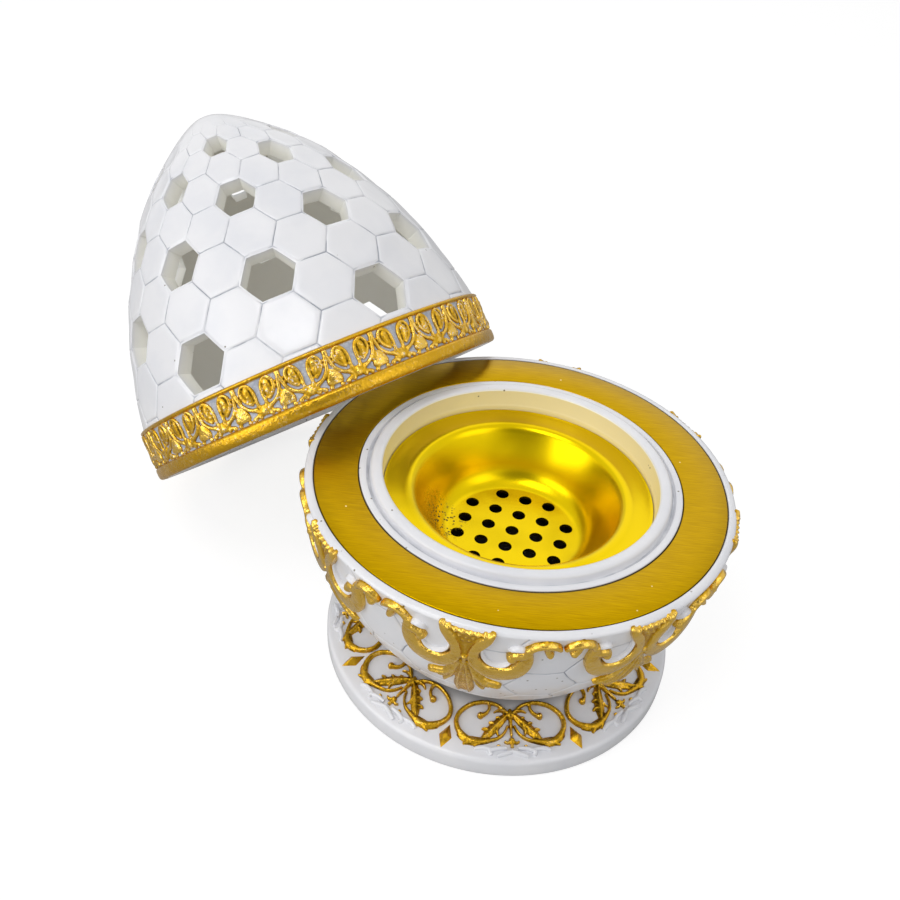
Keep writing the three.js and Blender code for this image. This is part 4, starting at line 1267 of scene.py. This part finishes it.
class MABKHARA_OT_ring_plate(bpy.types.Operator):
    """Models the flat brushed ring let into the bowl's land"""

    bl_idname = "mabkhara.ring_plate"
    bl_label = "Ring plate"

    def execute(self, context):
        bm = bmesh.new()
        spun(bm, RING_PLATE + [RING_PLATE[0]])
        close_up(bm)
        finished(bm, "Ring_plate", "burner", ["ring_plate"],
                 [finish("anodised_aluminium_brushed")])
        return {"FINISHED"}


class MABKHARA_OT_cup(bpy.types.Operator):
    """Models the spun charcoal cup with its pierced floor"""

    bl_idname = "mabkhara.charcoal_cup"
    bl_label = "Charcoal cup"

    def execute(self, context):
        bm = bmesh.new()
        radius, height = CUP_UPPER[0]
        floor = self.pierced_floor(bm, radius, height)
        made = bmesh.ops.extrude_face_region(bm, geom=floor, use_keep_orig=True)["geom"]
        under = [g for g in made if isinstance(g, bmesh.types.BMVert)]
        bmesh.ops.translate(bm, vec=(0, 0, CUP_LOWER[-1][1] - height), verts=under)
        # The disc's edge is open to the wall
        edge = [f for f in bm.faces if all(abs(radius_of(v.co) - radius) < WELD for v in f.verts)]
        bmesh.ops.delete(bm, geom=edge, context="FACES")
        spun(bm, CUP_UPPER + CUP_LOWER)
        close_up(bm)
        finished(bm, "Charcoal_cup", "cup", ["charcoal_cup"],
                 [finish("anodised_aluminium_spun")])
        return {"FINISHED"}

    def pierced_floor(self, bm, radius, height):
        """A flat disc with its holes, filled between the circles."""
        circle = bmesh.ops.create_circle(bm, cap_ends=False, segments=ROUND_STEPS, radius=radius,
                                         matrix=Matrix.Translation((0, 0, height)))["verts"]
        edges = list({e for v in circle for e in v.link_edges})
        reach = (CUP_HOLE_ROWS - 1) / 2
        turn = Matrix.Rotation(math.radians(CUP_HOLE_TURN), 4, "Z")
        for column in range(CUP_HOLE_ROWS):
            for row in range(CUP_HOLE_ROWS):
                across, down = column - reach, row - reach
                if abs(across) == reach and abs(down) == reach:
                    continue
                spot = Vector((across * CUP_HOLE_PITCH, down * CUP_HOLE_PITCH, height))
                hole = bmesh.ops.create_circle(bm, cap_ends=False, segments=CUP_HOLE_STEPS,
                                               radius=CUP_HOLE_RADIUS,
                                               matrix=turn @ Matrix.Translation(spot))["verts"]
                edges += list({e for v in hole for e in v.link_edges})
        filled = bmesh.ops.triangle_fill(bm, use_beauty=True, edges=edges)["geom"]
        return [g for g in filled if isinstance(g, bmesh.types.BMFace)]


class MABKHARA_OT_foot(bpy.types.Operator):
    """Models the foot with its neck, spigot and ungilded lace"""

    bl_idname = "mabkhara.foot"
    bl_label = "Foot"

    def execute(self, context):
        bm = new_sheet()
        spun(bm, FOOT_SPIGOT + smooth_path(FOOT_TOP, FOOT_STEP) + FOOT_EDGE)
        close_up(bm)
        painted_shade = bm.verts.layers.float["painted_shade"]
        # Painted shade under the bowl, darker towards the neck
        for v in bm.verts:
            if v.co.z > NECK_SHADE_BOTTOM:
                v[painted_shade] = neck_shade(radius_of(v.co))
        lace = white_strokes(LACE_STROKES, FINE_STEP)
        for i in range(MOTIFS):
            fresh = added(bm, lace)
            bmesh.ops.scale(bm, vec=(1 / DEGREE_SPAN, 1, 1), verts=fresh)
            on_foot(fresh, PALMETTE_TURN + 360 / MOTIFS * i)
            bmesh.ops.reverse_faces(bm, faces=list({f for v in fresh for f in v.link_faces}))
        finished(bm, "Pedestal_foot", "burner", ["pedestal_foot"],
                 [finish("cast_resin_pearl_lacquer")])
        return {"FINISHED"}


class MABKHARA_OT_felt(bpy.types.Operator):
    """Models the felt pad under the foot"""

    bl_idname = "mabkhara.felt"
    bl_label = "Felt pad"

    def execute(self, context):
        bm = bmesh.new()
        spun(bm, FELT_EDGE)
        close_up(bm)
        finished(bm, "Felt_pad", "burner", ["felt_pad"], [finish("wool_felt_pressed")])
        return {"FINISHED"}


class MABKHARA_OT_scrolls(bpy.types.Operator):
    """Models the eight gilded scrolls round the bowl"""

    bl_idname = "mabkhara.scrolls"
    bl_label = "Bowl scrolls"

    def execute(self, context):
        flat = bmesh.new()
        parts = [(BAND_SECTION, SCROLL_BANDS), (CORD_SECTION, SCROLL_CORDS),
                 (LEAF_SECTION, SCROLL_LEAVES)]
        drawn(flat, parts, SCROLL_MIDDLES, SCROLL_BEADS, SCROLL_STEP)
        motif = fused(flat, sizes()["scroll_grain"])
        ridges = crests(motif)
        ledges = white_strokes(SCROLL_WHITE, LEDGE_STEP)
        profile = smooth_path(BOWL_OUTSIDE, BOWL_STEP)
        lengths = arc_lengths(profile)

        def scroll(bm, middle):
            add_motif(bm, motif, ridges)
            add_motif(bm, ledges, gilt=0.0)
            for v in bm.verts:
                turn = math.radians(middle) + v.co.x / SCROLL_SPAN
                v.co = skin_point(profile, lengths, -1, turn, v.co.y, v.co.z)

        gilded_row("Bowl_scroll", "gold_paint_scrolls", SCROLL_TURN, scroll)
        return {"FINISHED"}


class MABKHARA_OT_palmettes(bpy.types.Operator):
    """Models the eight gilded palmettes on the foot"""

    bl_idname = "mabkhara.palmettes"
    bl_label = "Foot palmettes"

    def execute(self, context):
        def spread(spots):
            """Spots with their degrees across turned to millimetres."""
            return [(degrees * DEGREE_SPAN, *rest) for degrees, *rest in spots]

        flat = bmesh.new()
        parts = [(CORD_SECTION, [spread(points) for points in PALMETTE_CORDS]),
                 (LEAF_SECTION, [spread(points) for points in PALMETTE_LEAVES])]
        drawn(flat, parts, PALMETTE_MIDDLES, spread(PALMETTE_BEADS), FINE_STEP)
        motif = fused(flat, sizes()["palmette_grain"])
        ridges = crests(motif)

        def palmette(bm, middle):
            fresh = add_motif(bm, motif, ridges)
            bmesh.ops.scale(bm, vec=(1 / DEGREE_SPAN, 1, 1), verts=fresh)
            on_foot(fresh, middle)

        # The foot's gold paint is darker, painted shade of the bowl above
        gilded_row("Foot_palmette", "gold_paint_foot", PALMETTE_TURN, palmette)
        return {"FINISHED"}


class MABKHARA_OT_studs(bpy.types.Operator):
    """Models the eight gilded lozenge studs on the foot"""

    bl_idname = "mabkhara.studs"
    bl_label = "Foot studs"

    def execute(self, context):
        stud = self.lozenge()
        # The foot's gold paint is darker, painted shade of the bowl above
        gilded_row("Foot_stud", "gold_paint_foot", STUD_TURN,
                   lambda bm, middle: on_foot(add_motif(bm, stud), middle))
        return {"FINISHED"}

    def lozenge(self):
        """A flat-bottomed pyramid on a lozenge, with rounded ridges."""
        bm = bmesh.new()
        bmesh.ops.create_cone(bm, cap_ends=True, segments=4, radius1=0.5, radius2=0.0,
                              depth=STUD_HEIGHT - SINK)
        # The lozenge has its size at the ground, and is wider where it is sunk
        sunk = (STUD_HEIGHT - SINK) / STUD_HEIGHT
        across = sunk * STUD_WIDTH / (math.radians(1) * STUD_PLACE)
        bmesh.ops.scale(bm, vec=(across, sunk * STUD_LENGTH, 1), verts=bm.verts[:])
        bmesh.ops.translate(bm, vec=(0, STUD_PLACE, (STUD_HEIGHT + SINK) / 2), verts=bm.verts[:])
        ridges = [e for e in bm.edges if abs(e.verts[0].co.z - e.verts[1].co.z) > WELD]
        bmesh.ops.bevel(bm, geom=ridges, offset=STUD_BEVEL, offset_type="OFFSET", segments=2,
                        profile=0.5, affect="EDGES", material=-1)
        bmesh.ops.triangulate(bm, faces=bm.faces[:])
        bmesh.ops.subdivide_edges(bm, edges=bm.edges[:], cuts=3, use_grid_fill=True)
        return as_mesh(bm, "lozenge")


class MABKHARA_OT_stage(bpy.types.Operator):
    """Sets up the floor, the lamps and the camera"""

    bl_idname = "mabkhara.stage"
    bl_label = "Stage"

    def execute(self, context):
        self.floor()
        self.world()
        for name, place, width, power in LAMPS:
            lamp = bpy.data.lights.new(name, "AREA")
            lamp.size = width * MM
            lamp.energy = power
            holder = bpy.data.objects.new(name, lamp)
            holder.location = Vector(place) * MM
            heading = Vector(LAMP_TARGET) * MM - holder.location
            holder.rotation_euler = heading.to_track_quat("-Z", "Y").to_euler()
            bpy.context.scene.collection.objects.link(holder)
        self.camera()
        return {"FINISHED"}

    def floor(self):
        """A pale floor that shows white to the camera and keeps the object's shadow."""
        bm = bmesh.new()
        bmesh.ops.create_circle(bm, cap_ends=True, segments=96, radius=FLOOR_RADIUS * MM)
        mesh = as_mesh(bm, "Floor")
        mesh.materials.append(finish("studio_floor"))
        plane = bpy.data.objects.new("Floor", mesh)
        bpy.context.scene.collection.objects.link(plane)

    def world(self):
        """A plain white surround: full white where it is seen or mirrored, softer as light."""
        world = bpy.data.worlds.new("Surround")
        bpy.context.scene.world = world
        add = emptied(world)
        rays = add("LightPath").outputs
        seen = rays["Is Camera Ray"]
        for other in ("Is Glossy Ray", "Is Transmission Ray"):
            seen = add("Math", {0: seen, 1: rays[other]}, operation="MAXIMUM")
        strength = add("MapRange", {"Value": seen, "To Min": SURROUND_LIGHT,
                                    "To Max": SURROUND_SEEN})
        heading = add("TexCoord").outputs["Generated"]
        facing = add("VectorMath", {0: heading, 1: DARK_SIDE}, operation="DOT_PRODUCT")
        dark = add("MapRange", {"Value": facing.outputs["Value"], "From Min": DARK_EDGE,
                                "From Max": DARK_CORE})
        dark = add("Math", {0: dark, 1: rays["Is Glossy Ray"]}, operation="MULTIPLY")
        strength = add("Math", {0: dark, 1: DARK_STRENGTH, 2: strength}, operation="MULTIPLY_ADD")
        light = add("Background", {"Color": linear(WHITE), "Strength": strength})
        add("OutputWorld", {"Surface": light})

    def camera(self):
        """The photograph's viewpoint."""
        lens = bpy.data.cameras.new("Camera")
        lens.lens = CAMERA_LENS
        lens.sensor_width = CAMERA_SENSOR
        lens.clip_start = 0.01
        camera = bpy.data.objects.new("Camera", lens)
        turn = Matrix((CAMERA_RIGHT, CAMERA_UP, CAMERA_BACK)).transposed().to_4x4()
        camera.matrix_world = Matrix.Translation(Vector(CAMERA_PLACE) * MM) @ turn
        bpy.context.scene.collection.objects.link(camera)
        bpy.context.scene.camera = camera
        bpy.context.scene.view_settings.view_transform = "Standard"


OPERATORS = [
    MABKHARA_OT_lid, MABKHARA_OT_band, MABKHARA_OT_bowl, MABKHARA_OT_ring_plate, MABKHARA_OT_cup,
    MABKHARA_OT_foot, MABKHARA_OT_felt, MABKHARA_OT_scrolls, MABKHARA_OT_palmettes,
    MABKHARA_OT_studs, MABKHARA_OT_stage,
]


class MABKHARA_PT_panel(bpy.types.Panel):
    """Lists the pieces of the burner in the sidebar"""

    bl_label = "Mabkhara"
    bl_idname = "MABKHARA_PT_panel"
    bl_space_type = "VIEW_3D"
    bl_region_type = "UI"
    bl_category = "Mabkhara"

    def draw(self, context):
        for operator in OPERATORS:
            self.layout.operator(operator.bl_idname, text=operator.bl_label)
        for group in (context.scene.mabkhara_sizes, context.scene.mabkhara_colours):
            box = self.layout.box()
            for name in type(group).__annotations__:
                box.prop(group, name)


CLASSES = [MabkharaSizes, MabkharaColours, *OPERATORS, MABKHARA_PT_panel]


def register():
    """Adds the classes and the scene's settings."""
    for kind in CLASSES:
        bpy.utils.register_class(kind)
    bpy.types.Scene.mabkhara_sizes = bpy.props.PointerProperty(type=MabkharaSizes)
    bpy.types.Scene.mabkhara_colours = bpy.props.PointerProperty(type=MabkharaColours)


def unregister():
    """Removes the classes and the scene's settings."""
    del bpy.types.Scene.mabkhara_sizes
    del bpy.types.Scene.mabkhara_colours
    for kind in reversed(CLASSES):
        bpy.utils.unregister_class(kind)


def main():
    """Builds every piece."""
    register()
    for operator in OPERATORS:
        group, name = operator.bl_idname.split(".")
        getattr(getattr(bpy.ops, group), name)()


if __name__ == "__main__":
    main()
